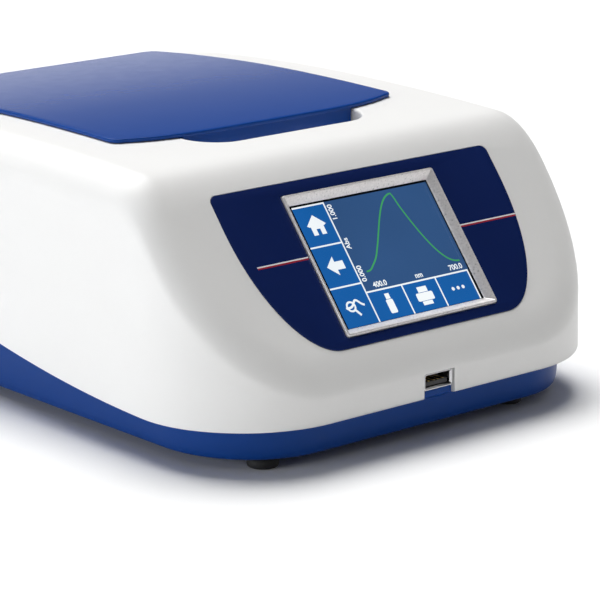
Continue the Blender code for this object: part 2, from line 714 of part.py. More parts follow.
def add_cuvette_holder():
    """Square-slot holder with light ports through it and a spring plate at one face."""
    floor = TUB_FLOOR_Z + TUB_WALL + GAP
    half = 11.0 * MM
    top = floor + 40 * MM
    holder = box("cuvette_holder", (-half, BEAM_Y - half, floor), (half, BEAM_Y + half, top),
                 BLACK, None, 0.8 * MM)
    foot = box("holder foot", (-half, BEAM_Y - 24 * MM, floor), (half, BEAM_Y + 24 * MM,
                                                                  floor + 4 * MM))
    slot = CUVETTE_SLOT / 2
    join(holder, foot)
    cut(holder, box("cuvette slot", (-slot, BEAM_Y - slot, floor + 3 * MM),
                    (slot, BEAM_Y + slot, top + 10 * MM)),
        box("spring recess", (slot - 1 * MM, BEAM_Y - 3 * MM, floor + 21 * MM),
            (slot + 2 * MM, BEAM_Y + 3 * MM, top + 10 * MM)),
        rod("holder beam port", 3.0 * MM, (-20 * MM, BEAM_Y, BEAM_Z), (20 * MM, BEAM_Y, BEAM_Z),
            segments=16))
    for index, offset in enumerate((-18 * MM, 18 * MM)):
        y = BEAM_Y + offset
        cut(holder, rod(f"holder screw hole {index}", 1.9 * MM, (0, y, 0), (0, y, 60 * MM),
                        segments=12))
        screw = turned(f"holder_screw_{'front' if offset < 0 else 'rear'}",
                       [(0.0, floor + 9 * MM), (3.6 * MM, floor + 9 * MM),
                        (4.0 * MM, floor + 8.6 * MM), (4.0 * MM, floor + 4.3 * MM),
                        (1.6 * MM, floor + 4.3 * MM), (1.6 * MM, floor + 0.2 * MM),
                        (0.0, floor + 0.2 * MM)], STEEL, None, 16)
        screw.location = (0.0, y, 0.0)
    spring = box("cuvette_spring", (slot + 0.6 * MM, BEAM_Y - 2.5 * MM, floor + 21.5 * MM),
                 (slot + 1.1 * MM, BEAM_Y + 2.5 * MM, top - 1 * MM), STEEL)
    spring.rotation_euler = (0.0, math.radians(-1.0), 0.0)


# ---------------------------------------------------------------- optics and electronics

def add_optics():
    deck = 11.0 * MM
    box("optics_plate", (-OPTICS_HALF_X, -70 * MM, deck), (OPTICS_HALF_X, 85 * MM, deck + 4 * MM),
        ALUMINIUM)
    top = deck + 4 * MM + GAP
    lamp_x = -72 * MM
    housing = box("lamp_housing", (lamp_x - 15 * MM, BEAM_Y - 18 * MM, top),
                  (lamp_x + 15 * MM, BEAM_Y + 18 * MM, 78 * MM), BLACK, None, 1.5 * MM)
    cut(housing, rod("lamp bore", 11 * MM, (lamp_x, BEAM_Y, top + 8 * MM),
                     (lamp_x, BEAM_Y, 90 * MM), segments=24),
        rod("lamp beam port", 3.5 * MM, (lamp_x, BEAM_Y, BEAM_Z), (-50 * MM, BEAM_Y, BEAM_Z),
            segments=16))
    lamp = turned("flash_lamp", [(0.0, 64 * MM), (5 * MM, 64 * MM), (9 * MM, 60 * MM),
                                 (9 * MM, 42 * MM), (10 * MM, 40 * MM),
                                 (10 * MM, top + 9 * MM), (0.0, top + 9 * MM)], OPTIC, None, 20)
    lamp.location = (lamp_x, BEAM_Y, 0.0)
    box("lamp_driver_board", (-OPTICS_HALF_X + MM, 44 * MM, top),
        (-58 * MM, 84 * MM, top + 1.6 * MM), BOARD)

    slit = box("slit_plate", (50 * MM, BEAM_Y - 12 * MM, top), (51.5 * MM, BEAM_Y + 12 * MM,
                                                               66 * MM), ALUMINIUM)
    cut(slit, box("slit opening", (40 * MM, BEAM_Y - 0.3 * MM, BEAM_Z - 4 * MM),
                  (60 * MM, BEAM_Y + 0.3 * MM, BEAM_Z + 4 * MM)))
    mount = box("grating_mount", (GRATING_X, BEAM_Y - 16 * MM, top),
                (GRATING_X + 8 * MM, BEAM_Y + 16 * MM, 72 * MM), ALUMINIUM)
    cut(mount, rod("grating seat", 12.8 * MM, (GRATING_X - 4 * MM, BEAM_Y, BEAM_Z),
                   (GRATING_X + 4 * MM, BEAM_Y, BEAM_Z), segments=24))
    rod("diffraction_grating", 12.5 * MM, (GRATING_X - 0.5 * MM, BEAM_Y, BEAM_Z),
        (GRATING_X + 3.7 * MM, BEAM_Y, BEAM_Z), OPTIC, segments=24)
    box("detector_board", (50 * MM, BEAM_Y - 60 * MM, top), (51.6 * MM, BEAM_Y - 16 * MM,
                                                            66 * MM), BOARD)
    box("array_detector", (51.9 * MM, BEAM_Y - 50 * MM, BEAM_Z - 5 * MM),
        (54.9 * MM, BEAM_Y - 20 * MM, BEAM_Z + 5 * MM), BLACK)

    box("main_board", (-60 * MM, -118 * MM, 12 * MM), (60 * MM, -74 * MM, 13.6 * MM), BOARD)
    sink = box("heat_sink", (-44 * MM, -112 * MM, 13.9 * MM), (-22 * MM, -88 * MM, 26 * MM),
               ALUMINIUM)
    for index in range(4):
        x = (-40.5 + 5.0 * index) * MM
        cut(sink, box(f"fin gap {index}", (x - 1.3 * MM, -120 * MM, 16.5 * MM),
                      (x + 1.3 * MM, -80 * MM, 40 * MM)))
    box("power_board", (-50 * MM, 100 * MM, 12 * MM), (50 * MM, 124 * MM, 13.6 * MM), BOARD)


def add_front_usb():
    width, depth, height = USB_SIZE
    front = -HALF_DEPTH + USB_RECESS
    wall = 0.6 * MM
    socket = box("front_usb_socket", (-width / 2, front, USB_Z - height / 2),
                 (width / 2, front + depth, USB_Z + height / 2), STEEL)
    cut(socket, box("socket mouth", (-width / 2 + wall, front - 5 * MM, USB_Z - height / 2 + wall),
                    (width / 2 - wall, front + depth - wall, USB_Z + height / 2 - wall)))
    box("front_usb_tongue", (-5.6 * MM, front + 1.2 * MM, USB_Z - 2.1 * MM),
        (5.6 * MM, front + depth - 0.9 * MM, USB_Z - 0.2 * MM), BLACK)
    box("front_usb_board", (-12 * MM, front + depth + GAP, 19.0 * MM),
        (12 * MM, front + depth + 12 * MM, 20.6 * MM), BOARD)


def add_rear_panel():
    """Connector plate in the base's rear wall, with the inlet, the rocker switch and a port."""
    panel_top = 47.5 * MM
    rear_inset = hull_inset(Vector((0.0, 1.0)), 0.0)
    wall_out = HALF_DEPTH - rear_inset - lean_inset(panel_top + 2 * MM)
    inner = wall_out - BASE_WALL
    front = inner - 2.0 * MM - GAP
    back = inner - GAP
    panel = box("rear_panel", (-62 * MM, front, 18 * MM), (62 * MM, back, panel_top), BLACK)
    mid_z = 33 * MM
    cut(panel, box("switch cut-out", (-46.4 * MM, 100 * MM, mid_z - 6.6 * MM),
                   (-26.6 * MM, 150 * MM, mid_z + 6.6 * MM)),
        rod("inlet cut-out", 4.8 * MM, (-8 * MM, 100 * MM, mid_z), (-8 * MM, 150 * MM, mid_z),
            segments=20),
        box("port cut-out", (18.8 * MM, 100 * MM, mid_z - 5.9 * MM),
            (31.2 * MM, 150 * MM, mid_z + 5.9 * MM)))
    face = back + GAP
    bezel = box("switch_bezel", (-46 * MM, front - 7 * MM, mid_z - 6.2 * MM),
                (-27 * MM, back, mid_z + 6.2 * MM), BLACK)
    join(bezel, box("switch flange", (-48 * MM, face, mid_z - 8 * MM),
                    (-25 * MM, face + 1.5 * MM, mid_z + 8 * MM)),
         box("switch neck", (-46 * MM, back - 1 * MM, mid_z - 6.2 * MM),
             (-27 * MM, face + 1 * MM, mid_z + 6.2 * MM)))
    cut(bezel, box("rocker hollow", (-44.4 * MM, front - 5 * MM, mid_z - 4.8 * MM),
                   (-28.6 * MM, 150 * MM, mid_z + 4.8 * MM)))
    add_rocker(-36.5 * MM, face - 0.5 * MM, mid_z)

    inlet = rod("power_inlet", 4.4 * MM, (-8 * MM, front - 8 * MM, mid_z),
                (-8 * MM, face + 0.5 * MM, mid_z), BLACK, segments=20)
    join(inlet, rod("inlet collar", 6.4 * MM, (-8 * MM, face, mid_z),
                    (-8 * MM, face + 1.5 * MM, mid_z), segments=20))
    cut(inlet, rod("inlet bore", 3.2 * MM, (-8 * MM, front - 6 * MM, mid_z),
                   (-8 * MM, 150 * MM, mid_z), segments=20))
    rod("inlet_pin", 1.0 * MM, (-8 * MM, front - 5.7 * MM, mid_z), (-8 * MM, face, mid_z), STEEL,
        segments=10)

    port = box("rear_usb_socket", (19.2 * MM, front - 11 * MM, mid_z - 5.5 * MM),
               (30.8 * MM, face + 0.8 * MM, mid_z + 5.5 * MM), STEEL)
    cut(port, box("port mouth", (19.9 * MM, front - 10.2 * MM, mid_z - 4.8 * MM),
                  (30.1 * MM, 150 * MM, mid_z + 4.8 * MM)))
    box("rear_usb_tongue", (22.2 * MM, front - 9.9 * MM, mid_z - 1.6 * MM),
        (27.8 * MM, face - 1 * MM, mid_z + 1.6 * MM), BLACK)


def add_rocker(x, y, z):
    """Rocker cap at "off" on its pivot across the switch; its faces meet in a shallow valley."""
    pivot = add_empty("rocker_pivot", (x, y - 1.5 * MM, z), -ROCKER_TILT)
    half_height = 4.3 * MM
    face = 2.9 * MM
    outline = [(-2.6 * MM, -1.8 * MM), (-1.0 * MM, -half_height), (face, -half_height),
               (1.9 * MM, 0.0), (face, half_height), (-1.0 * MM, half_height),
               (-2.6 * MM, 1.8 * MM)]
    upright_plate("switch_rocker", outline, 14.8 * MM, 0.0, BLACK, pivot)


# ---------------------------------------------------------------- assembly

def side_stations():
    """Places along the straight side: close together where the roof turns into the facet."""
    close = [(-85.5 + 2.5 * step) * MM for step in range(7)]
    spread = [(-60 + 20 * step) * MM for step in range(8)]
    return close + spread


def build():
    clear_scene()
    outline = half_outline(side_stations())
    facet = add_empty("facet_frame", (0.0, FACET_Y, FACET_Z), FACET_TILT)
    hinge = add_empty("lid_hinge", (0.0, HINGE_Y, HINGE_Z))
    bpy.context.view_layer.update()
    add_upper_shell(outline, facet)
    add_base_tray(outline)
    add_case_screws()
    add_feet()
    add_display(facet)
    add_lid(hinge)
    add_hinges()
    add_lid_sensing(hinge)
    add_sample_chamber()
    add_beam_windows()
    add_cuvette_holder()
    add_optics()
    add_front_usb()
    add_rear_panel()


build()
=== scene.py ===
"""Looks of the bench-top spectrophotometer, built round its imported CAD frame.

Metres, +Z up. +X is to the operator's right, -Y is the front with the sloping display, and the
sample lid hinges along the rear edge. The case, lid and display are remade here as fine surfaces
from the same driving sizes as the CAD model; the other CAD pieces stay and get finer materials.
"""

import json
import math

import bmesh
import bpy
from mathutils import Matrix, Vector


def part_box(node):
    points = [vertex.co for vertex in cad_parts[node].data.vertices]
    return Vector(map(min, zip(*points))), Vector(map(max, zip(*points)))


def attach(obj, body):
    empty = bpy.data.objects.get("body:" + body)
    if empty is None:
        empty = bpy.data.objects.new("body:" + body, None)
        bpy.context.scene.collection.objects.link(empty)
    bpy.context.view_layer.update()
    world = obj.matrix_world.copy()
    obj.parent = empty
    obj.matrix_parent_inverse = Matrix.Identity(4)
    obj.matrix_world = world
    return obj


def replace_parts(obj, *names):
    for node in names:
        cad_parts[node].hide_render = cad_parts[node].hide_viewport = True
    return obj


MM = 0.001

# Case outline in plan
HALF_WIDTH = 103.6 * MM
HALF_DEPTH = 137.6 * MM
FRONT_CORNER = 49.5 * MM
REAR_CORNER = 34.0 * MM

# Case in side view
ROOF_Z = 107.3 * MM
ROOF_CREST_Y = 16.6 * MM
ROOF_FALL_FRONT = 0.28
ROOF_FALL_REAR = 0.45
FACET_TILT = math.radians(50.8)
FACET_Y = -110.3 * MM
FACET_Z = 69.0 * MM
FACET_DROP = 1.4 * MM
ROOF_BLEND = 10.0 * MM
SIDE_ROUND = 14.0 * MM
FRONT_ROUND = 7.0 * MM
REAR_ROUND = 8.0 * MM
WALL_LEAN = 0.015
SHELL_WALL = 2.5 * MM
SHELL_EDGE = 0.7 * MM

# Joint line between the upper shell and the base
SPLIT_Z = 17.4 * MM
SPLIT_CURVE = 0.8
SPLIT_LINEAR_FROM = -5.0 * MM

# Base tray
BASE_BOTTOM_Z = 4.5 * MM
BASE_WALL = 2.5 * MM
BASE_INSET = 2.8 * MM
BASE_LIP = 5.0 * MM
HULL_SIDE_INSET = 9.4 * MM
HULL_FRONT_INSET = 6.6 * MM
HULL_REAR_INSET = 3.4 * MM
HULL_TAPER = 0.5 * MM
HULL_ROUND = 1.4 * MM
FOOT_RADIUS = 6.0 * MM

# Sample lid and the openings under it
LID_HALF_WIDTH = 71.5 * MM
LID_FRONT_Y = -40.5 * MM
LID_FRONT_BOW = 9.5 * MM
LID_REAR_Y = 127.0 * MM
LID_PROUD = 1.9 * MM
LID_THICK = 1.6 * MM
LID_CORNER = 5.0 * MM
LID_EDGE = 0.6 * MM
FRONT_WALL_HALF_X = 43.0 * MM
FRONT_WALL_Y = -39.0 * MM
FRONT_WALL_THICK = 2.0 * MM
FRONT_WALL_FOOT_Z = 98.0 * MM
FRONT_WALL_TOP_Z = 107.2 * MM
HINGE_Y = 121.0 * MM
HINGE_Z = 98.5 * MM
HINGE_X = 50.0 * MM
LUG_TOP_Z = 103.4 * MM
LUG_RADIUS = 4.0 * MM
LUG_BORE = 1.8 * MM
TROUGH_Z = 90.5 * MM
TROUGH_HALF_X = 64.0 * MM
TROUGH_Y = (110.0 * MM, 130.5 * MM)
SWING_HALF_X = 72.6 * MM
SWING_FRONT_Y = 118.5 * MM
WELL_HALF_X = 61.0 * MM
WELL_FRONT_Y = -33.0 * MM
WELL_REAR_Y = 98.0 * MM
WELL_CORNER = 5.0 * MM
WELL_BOTTOM_Z = 80.0 * MM
SCOOP_HALF_X = 43.6 * MM
SCOOP_FRONT_Y = -54.0 * MM
SCOOP_CORNER = 15.5 * MM
SCOOP_FLOOR_Z = 96.5 * MM
SCOOP_FLOOR_ROUND = 3.0 * MM
SCOOP_LIP = 1.2 * MM
SCOOP_PAD_HALF_X = 48.0 * MM
SCOOP_PAD_Y = (-62.0 * MM, -30.0 * MM)
SCOOP_PAD_FOOT_Z = 94.0 * MM
HINGE_PAD_Y = (107.0 * MM, 132.0 * MM)
HINGE_PAD_FOOT_Z = 88.0 * MM
ABOVE_ROOF_Z = 120.0 * MM
TUB_RIM_Z = 100.2 * MM

# Display stack, in the facet's own frame: x to the right, y up the slope, z out of it
BEZEL_HALF = (38.25 * MM, 29.85 * MM)
SCREEN_HALF = (35.1 * MM, 26.3 * MM)
BEZEL_DEPTH = 3.0 * MM
BEZEL_RIM = 0.7 * MM
FASCIA_TOP = 35.3 * MM
FASCIA_BOTTOM = -34.2 * MM
FASCIA_HALF_WIDTH = 70.2 * MM
FASCIA_BOTTOM_HALF = 42.0 * MM
FASCIA_STRAIGHT_TO = 22.0 * MM
FASCIA_CORNER = 3.0 * MM
FASCIA_THICK = 0.9 * MM
FACET_LEVEL = -FACET_DROP * math.cos(FACET_TILT)
GLASS_LEVEL = FACET_LEVEL - SHELL_WALL - 0.6 * MM
GAP = 0.3 * MM

# Front USB socket
USB_SIZE = (14.4 * MM, 13.0 * MM, 6.4 * MM)
USB_Z = 23.6 * MM
USB_RECESS = 0.7 * MM
NOTCH_HALF_X = 7.8 * MM
NOTCH_TOP_Z = 27.1 * MM
LEDGE_HALF_X = 7.4 * MM
LEDGE_FOOT_Z = 14.0 * MM
LEDGE_BACK = 0.7 * MM
FRONT_CUT_Y = (-150.0 * MM, -125.0 * MM)

# Opening in the base's rear wall for the connector panel
REAR_OPENING_LOW = (-58.0 * MM, 128.0 * MM, 20.0 * MM)
REAR_OPENING_HIGH = (58.0 * MM, 150.0 * MM, 46.0 * MM)

# Camera of the photograph: lens in mm, place in metres, angles in degrees
CAMERA_LENS = 183.13
CAMERA_PLACE = (-0.7566, -0.9339, 0.3489)
CAMERA_DOWN = 15.01
CAMERA_TURN = -40.8

# Studio: how bright the surroundings are to gloss, from the horizon band up, and to diffuse light
HORIZON_BAND = (0.12, 0.23)
HORIZON_GLOSS = 0.85
SKY_GLOSS = 0.0
AMBIENT = 0.13
OVERHEAD_STRENGTH = 3.6
OVERHEAD_SPREAD = 52
OVERHEAD_FROM = (0.10, 0.43, 0.90)
FLOOR_HALF = 6.0

# Fineness of the case surfaces
CORNER_STEPS = 28
SIDE_STEP = 3.0 * MM

# Turns a plate drawn in Y and Z upright, so that it stands across X
UPRIGHT = Matrix.Rotation(math.pi / 2, 4, "Z") @ Matrix.Rotation(math.pi / 2, 4, "X")


# ---------------------------------------------------------------- case surface

def roof_height(y):
    """Crowned roof, blended into the sloping facet."""
    fall = ROOF_FALL_FRONT if y < ROOF_CREST_Y else ROOF_FALL_REAR
    crown = ROOF_Z - fall * (y - ROOF_CREST_Y) ** 2
    facet = FACET_Z - FACET_DROP + math.tan(FACET_TILT) * (y - FACET_Y)
    overlap = max(0.0, ROOF_BLEND - abs(crown - facet))
    return min(crown, facet) - overlap ** 2 / (4 * ROOF_BLEND)


def split_height(y):
    """Height of the joint line: a parabola that runs on as a straight rise."""
    run = y - FACET_Y
    straight_from = SPLIT_LINEAR_FROM - FACET_Y
    if run <= 0:
        return SPLIT_Z
    if run <= straight_from:
        return SPLIT_Z + SPLIT_CURVE * run ** 2
    return SPLIT_Z + SPLIT_CURVE * straight_from * (2 * run - straight_from)


def arc(centre, radius, start, end, steps):
    """Points on an arc; angles in degrees, counter-clockwise from +X."""
    angles = [math.radians(start + (end - start) * step / steps) for step in range(steps + 1)]
    return [(centre[0] + radius * math.cos(a), centre[1] + radius * math.sin(a)) for a in angles]


def rounded_rectangle(half_x, half_y, radius, steps=6, centre=(0.0, 0.0)):
    """Counter-clockwise outline about a centre."""
    points = []
    for side_x, side_y, start in ((1, 1, 0), (-1, 1, 90), (-1, -1, 180), (1, -1, 270)):
        corner = (centre[0] + side_x * (half_x - radius), centre[1] + side_y * (half_y - radius))
        points += arc(corner, radius, start, start + 90, steps)
    return points


def case_outline():
    """The case in plan as (point, outward normal), counter-clockwise from the front centre."""
    right = [(Vector((0.0, -HALF_DEPTH)), Vector((0.0, -1.0)))]
    side_low = -HALF_DEPTH + FRONT_CORNER
    side_high = HALF_DEPTH - REAR_CORNER
    corners = ((side_low, FRONT_CORNER, -90.0), (side_high, REAR_CORNER, 0.0))
    for centre_y, radius, start in corners:
        for step in range(CORNER_STEPS + 1):
            angle = math.radians(start + 90.0 * step / CORNER_STEPS)
            normal = Vector((math.cos(angle), math.sin(angle)))
            right.append((Vector((HALF_WIDTH - radius, centre_y)) + radius * normal, normal))
        if start < 0:
            count = round((side_high - side_low) / SIDE_STEP)
            for step in range(1, count):
                y = side_low + (side_high - side_low) * step / count
                right.append((Vector((HALF_WIDTH, y)), Vector((1.0, 0.0))))
    right.append((Vector((0.0, HALF_DEPTH)), Vector((0.0, 1.0))))
    flip = Vector((-1.0, 1.0))
    left = [(point * flip, normal * flip) for point, normal in reversed(right[1:-1])]
    return right + left


def shell_ring(outline, wall, part, fraction):
    """One ring of the upper shell's outer (wall 0) or inner face, on the wall or the shoulder."""
    ring = []
    for point, normal in outline:
        end_round = FRONT_ROUND if normal.y < 0 else REAR_ROUND
        radius = SIDE_ROUND + (end_round - SIDE_ROUND) * normal.y ** 2 - wall
        slope = (roof_height(point.y + MM) - roof_height(point.y - MM)) / (2 * MM)
        drop = wall * math.sqrt(1 + slope ** 2)
        if part == "wall":
            inset = 0.0
            low = split_height(point.y)
            high = roof_height(point.y - normal.y * wall) - drop - radius
            z = low + (high - low) * fraction
        else:
            angle = math.pi / 2 * fraction
            inset = radius * (1 - math.cos(angle))
            y = point.y - normal.y * (inset + wall)
            z = roof_height(y) - drop - radius * (1 - math.sin(angle))
        place = point - normal * (inset + wall + WALL_LEAN * (z - SPLIT_Z))
        ring.append(Vector((place.x, place.y, z)))
    return ring


# ---------------------------------------------------------------- mesh helpers

def piece(name, mesh, body, material, matrix=None):
    """Links a finished mesh as a piece that rides on a body and takes its finish from a slot."""
    obj = bpy.data.objects.new(name, mesh)
    bpy.context.scene.collection.objects.link(obj)
    if matrix is not None:
        mesh.transform(matrix)
    mesh.materials.clear()
    mesh.materials.append(material)
    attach(obj, body)
    return obj


def mesh_from(bm, name):
    mesh = bpy.data.meshes.new(name)
    bm.to_mesh(mesh)
    bm.free()
    return mesh


def smooth(mesh, angle=34.0):
    mesh.shade_smooth()
    mesh.set_sharp_from_angle(angle=math.radians(angle))
    return mesh


def mesh_of_curve(name, curve):
    """The mesh that a curve or a text draws."""
    drawing = bpy.data.objects.new(name, curve)
    bpy.context.scene.collection.objects.link(drawing)
    depsgraph = bpy.context.evaluated_depsgraph_get()
    mesh = bpy.data.meshes.new_from_object(drawing.evaluated_get(depsgraph))
    bpy.data.objects.remove(drawing, do_unlink=True)
    return mesh


def skin(bm, rows):
    """Quads between neighbouring closed rows of vertices."""
    count = len(rows[0])
    for lower, upper in zip(rows, rows[1:]):
        for index in range(count):
            after = (index + 1) % count
            bm.faces.new((lower[index], lower[after], upper[after], upper[index]))


def loft(name, rings, start=None, end=None):
    """Skins closed rings in order; each end is left open, filled, or strung across the middle."""
    bm = bmesh.new()
    rows = [[bm.verts.new(point) for point in ring] for ring in rings]
    skin(bm, rows)
    for row, style in ((rows[0], start), (rows[-1], end)):
        if style == "fill":
            bm.faces.new(row)
        elif style == "across":
            for index in range(len(row) // 2):
                loop = [row[index], row[index + 1], row[-index - 1], row[-index]]
                bm.faces.new(list(dict.fromkeys(loop)))
    bmesh.ops.recalc_face_normals(bm, faces=bm.faces)
    return smooth(mesh_from(bm, name))


def joined_loop(name, rings):
    """A ring-shaped solid: the last section joins back to the first."""
    bm = bmesh.new()
    rows = [[bm.verts.new(point) for point in ring] for ring in rings]
    skin(bm, rows + rows[:1])
    bmesh.ops.recalc_face_normals(bm, faces=bm.faces)
    return smooth(mesh_from(bm, name))


def offset_outline(points, distance):
    """A counter-clockwise outline moved outwards by a distance, with mitred corners."""
    moved = []
    for index, point in enumerate(points):
        before = Vector(points[index - 1])
        here = Vector(point)
        after = Vector(points[(index + 1) % len(points)])
        normals = []
        for start, stop in ((before, here), (here, after)):
            along = (stop - start).normalized()
            normals.append(Vector((along.y, -along.x)))
        mitre = (normals[0] + normals[1]).normalized()
        moved.append(here + mitre * distance / max(0.5, mitre.dot(normals[0])))
    return moved


def turned(name, profile, steps=48):
    """A solid turned about Z from (radius, height) points that run from axis to axis."""
    bm = bmesh.new()
    verts = [bm.verts.new((radius, 0.0, height)) for radius, height in profile]
    edges = [bm.edges.new(pair) for pair in zip(verts, verts[1:])]
    bmesh.ops.spin(bm, geom=verts + edges, cent=(0, 0, 0), axis=(0, 0, 1), angle=math.tau,
                   steps=steps, use_merge=True)
    bmesh.ops.remove_doubles(bm, verts=bm.verts, dist=0.002 * MM)
    bmesh.ops.recalc_face_normals(bm, faces=bm.faces)
    return smooth(mesh_from(bm, name))


def plate(name, outlines, low, high, bevel=0.0):
    """Flat outlines, the later ones holes in the first, as a plate from low to high along z."""
    curve = bpy.data.curves.new(name, "CURVE")
    curve.dimensions = "2D"
    curve.fill_mode = "BOTH"
    curve.extrude = (high - low) / 2
    for points in outlines:
        spline = curve.splines.new("POLY")
        spline.points.add(len(points) - 1)
        for target, (x, y) in zip(spline.points, points):
            target.co = (x, y, 0.0, 1.0)
        spline.use_cyclic_u = True
    mesh = mesh_of_curve(name, curve)
    bm = bmesh.new()
    bm.from_mesh(mesh)
    bmesh.ops.remove_doubles(bm, verts=bm.verts, dist=0.01 * MM)
    bmesh.ops.dissolve_limit(bm, angle_limit=math.radians(0.5), verts=bm.verts, edges=bm.edges)
    bmesh.ops.translate(bm, verts=bm.verts, vec=(0.0, 0.0, (low + high) / 2))
    if bevel:
        sharp = [e for e in bm.edges if e.is_manifold and e.calc_face_angle() > math.radians(50)]
        bmesh.ops.bevel(bm, geom=sharp, offset=bevel, segments=3, profile=0.5, affect="EDGES")
    bmesh.ops.recalc_face_normals(bm, faces=bm.faces)
    bm.to_mesh(mesh)
    bm.free()
    return smooth(mesh)


def block(name, low, high, bevel=0.0):
    """A block between two corners with rounded edges."""
    low, high = Vector(low), Vector(high)
    bm = bmesh.new()
    bmesh.ops.create_cube(bm, size=1.0)
    bmesh.ops.scale(bm, vec=high - low, verts=bm.verts)
    bmesh.ops.translate(bm, vec=(low + high) / 2, verts=bm.verts)
    if bevel:
        bmesh.ops.bevel(bm, geom=bm.edges[:], offset=bevel, segments=3, profile=0.5,
                        affect="EDGES")
    return smooth(mesh_from(bm, name))


def merged(name, meshes):
    """Several meshes as one, keeping their normals and shape."""
    bm = bmesh.new()
    for mesh in meshes:
        bm.from_mesh(mesh)
    return smooth(mesh_from(bm, name))


def shaped(obj, steps):
    """Applies exact Boolean steps (operation, mesh, matrix) to a piece, then evens its shading."""
    tools = []
    for operation, mesh, matrix in steps:
        tool = bpy.data.objects.new(mesh.name, mesh)
        bpy.context.scene.collection.objects.link(tool)
        if matrix is not None:
            tool.data.transform(matrix)
        modifier = obj.modifiers.new(mesh.name, "BOOLEAN")
        modifier.operation = operation
        modifier.object = tool
        modifier.solver = "EXACT"
        tools.append(tool)
    depsgraph = bpy.context.evaluated_depsgraph_get()
    result = bpy.data.meshes.new_from_object(obj.evaluated_get(depsgraph))
    obj.modifiers.clear()
    material = obj.data.materials[0]
    obj.data = result
    result.materials.clear()
    result.materials.append(material)
    result.polygons.foreach_set("material_index", [0] * len(result.polygons))
    for tool in tools:
        bpy.data.objects.remove(tool, do_unlink=True)
    smooth(result)
    weighted = obj.modifiers.new("even shading", "WEIGHTED_NORMAL")
    weighted.keep_sharp = True
    return obj


def lip_cutter(name, outline, floor, lip, height_at, floor_round=0.0):
    """A cutter for a sunk opening whose walls roll over into the surface round it."""
    rings = []
    steps = 6
    for step in range(steps if floor_round else 0):
        angle = math.pi / 2 * step / steps
        inset = floor_round * (1 - math.sin(angle))
        points = offset_outline(outline, -inset)
        depth = floor + floor_round * (1 - math.cos(angle))
        rings.append([Vector((*point, depth)) for point in points])
    rings.append([Vector((*point, floor + floor_round)) for point in outline])
    steps = 7
    for step in range(steps + 1):
        angle = math.radians(72) * step / steps
        points = offset_outline(outline, lip * (1 - math.cos(angle)))
        rings.append([Vector((*p, height_at(p) - lip * (1 - math.sin(angle)))) for p in points])
    points = offset_outline(outline, lip * (1 - math.cos(angle)) + 0.35 * lip)
    rings.append([Vector((*p, height_at(p) + 0.06 * lip)) for p in points])
    rings.append([Vector((*p, height_at(p) + 20 * MM)) for p in points])
    return loft(name, rings, "fill", "fill")


# ---------------------------------------------------------------- materials

def new_material(name):
    material = bpy.data.materials.new(name)
    material.use_nodes = True
    return material, material.node_tree, material.node_tree.nodes["Principled BSDF"]


def noise(tree, scale, detail=2.0, stretch=None):
    """A noise texture in the piece's own space, stretched along an axis if asked."""
    place = tree.nodes.new("ShaderNodeTexCoord")
    texture = tree.nodes.new("ShaderNodeTexNoise")
    texture.inputs["Scale"].default_value = scale
    texture.inputs["Detail"].default_value = detail
    vector = place.outputs["Object"]
    if stretch is not None:
        mapping = tree.nodes.new("ShaderNodeMapping")
        mapping.inputs["Scale"].default_value = stretch
        tree.links.new(vector, mapping.inputs["Vector"])
        vector = mapping.outputs["Vector"]
    tree.links.new(vector, texture.inputs["Vector"])
    return texture.outputs["Fac"]


def ramp(tree, source, low, high, start=0.3, stop=0.7):
    """Runs a texture between two colours."""
    node = tree.nodes.new("ShaderNodeValToRGB")
    node.color_ramp.elements[0].position = start
    node.color_ramp.elements[1].position = stop
    node.color_ramp.elements[0].color = (*low, 1.0)
    node.color_ramp.elements[1].color = (*high, 1.0)
    tree.links.new(source, node.inputs["Fac"])
    return node.outputs["Color"]


def spread(tree, source, low, high):
    node = tree.nodes.new("ShaderNodeMapRange")
    node.inputs["From Min"].default_value = 0.3
    node.inputs["From Max"].default_value = 0.7
    node.inputs["To Min"].default_value = low
    node.inputs["To Max"].default_value = high
    tree.links.new(source, node.inputs["Value"])
    return node.outputs["Result"]


def bumps(tree, shader, layers):
    """Stacks bump layers, given as (texture output, height), into the shader's normal."""
    normal = None
    for source, height in layers:
        node = tree.nodes.new("ShaderNodeBump")
        node.inputs["Distance"].default_value = height
        tree.links.new(source, node.inputs["Height"])
        if normal is not None:
            tree.links.new(normal, node.inputs["Normal"])
        normal = node.outputs["Normal"]
    tree.links.new(normal, shader.inputs["Normal"])


def scaled(colour, factor):
    return tuple(min(1.0, channel * factor) for channel in colour)


def moulded(name, colour, roughness, grain=0.012 * MM, mottle=0.012, specular=0.5):
    """Moulded or painted plastic: faint mottling, a spark-eroded grain and uneven gloss."""
    material, tree, shader = new_material(name)
    broad = noise(tree, 22.0, 3.0)
    tree.links.new(ramp(tree, broad, scaled(colour, 1 - mottle), scaled(colour, 1 + mottle)),
                   shader.inputs["Base Color"])
    tree.links.new(spread(tree, noise(tree, 160.0, 3.0), roughness - 0.012, roughness + 0.012),
                   shader.inputs["Roughness"])
    bumps(tree, shader, ((noise(tree, 2600.0, 2.0), grain), (noise(tree, 45.0, 1.0), 0.004 * MM)))
    shader.inputs["Specular IOR Level"].default_value = specular
    return material


def brushed(name, colour, roughness, stretch, scale=420.0, metallic=1.0):
    """Metal with drawn or brushed marks along one axis."""
    material, tree, shader = new_material(name)
    marks = noise(tree, scale, 4.0, stretch)
    tree.links.new(ramp(tree, marks, scaled(colour, 0.88), scaled(colour, 1.08)),
                   shader.inputs["Base Color"])
    tree.links.new(spread(tree, marks, roughness - 0.07, roughness + 0.07),
                   shader.inputs["Roughness"])
    bumps(tree, shader, ((marks, 0.006 * MM), (noise(tree, 90.0), 0.01 * MM)))
    shader.inputs["Metallic"].default_value = metallic
    return material


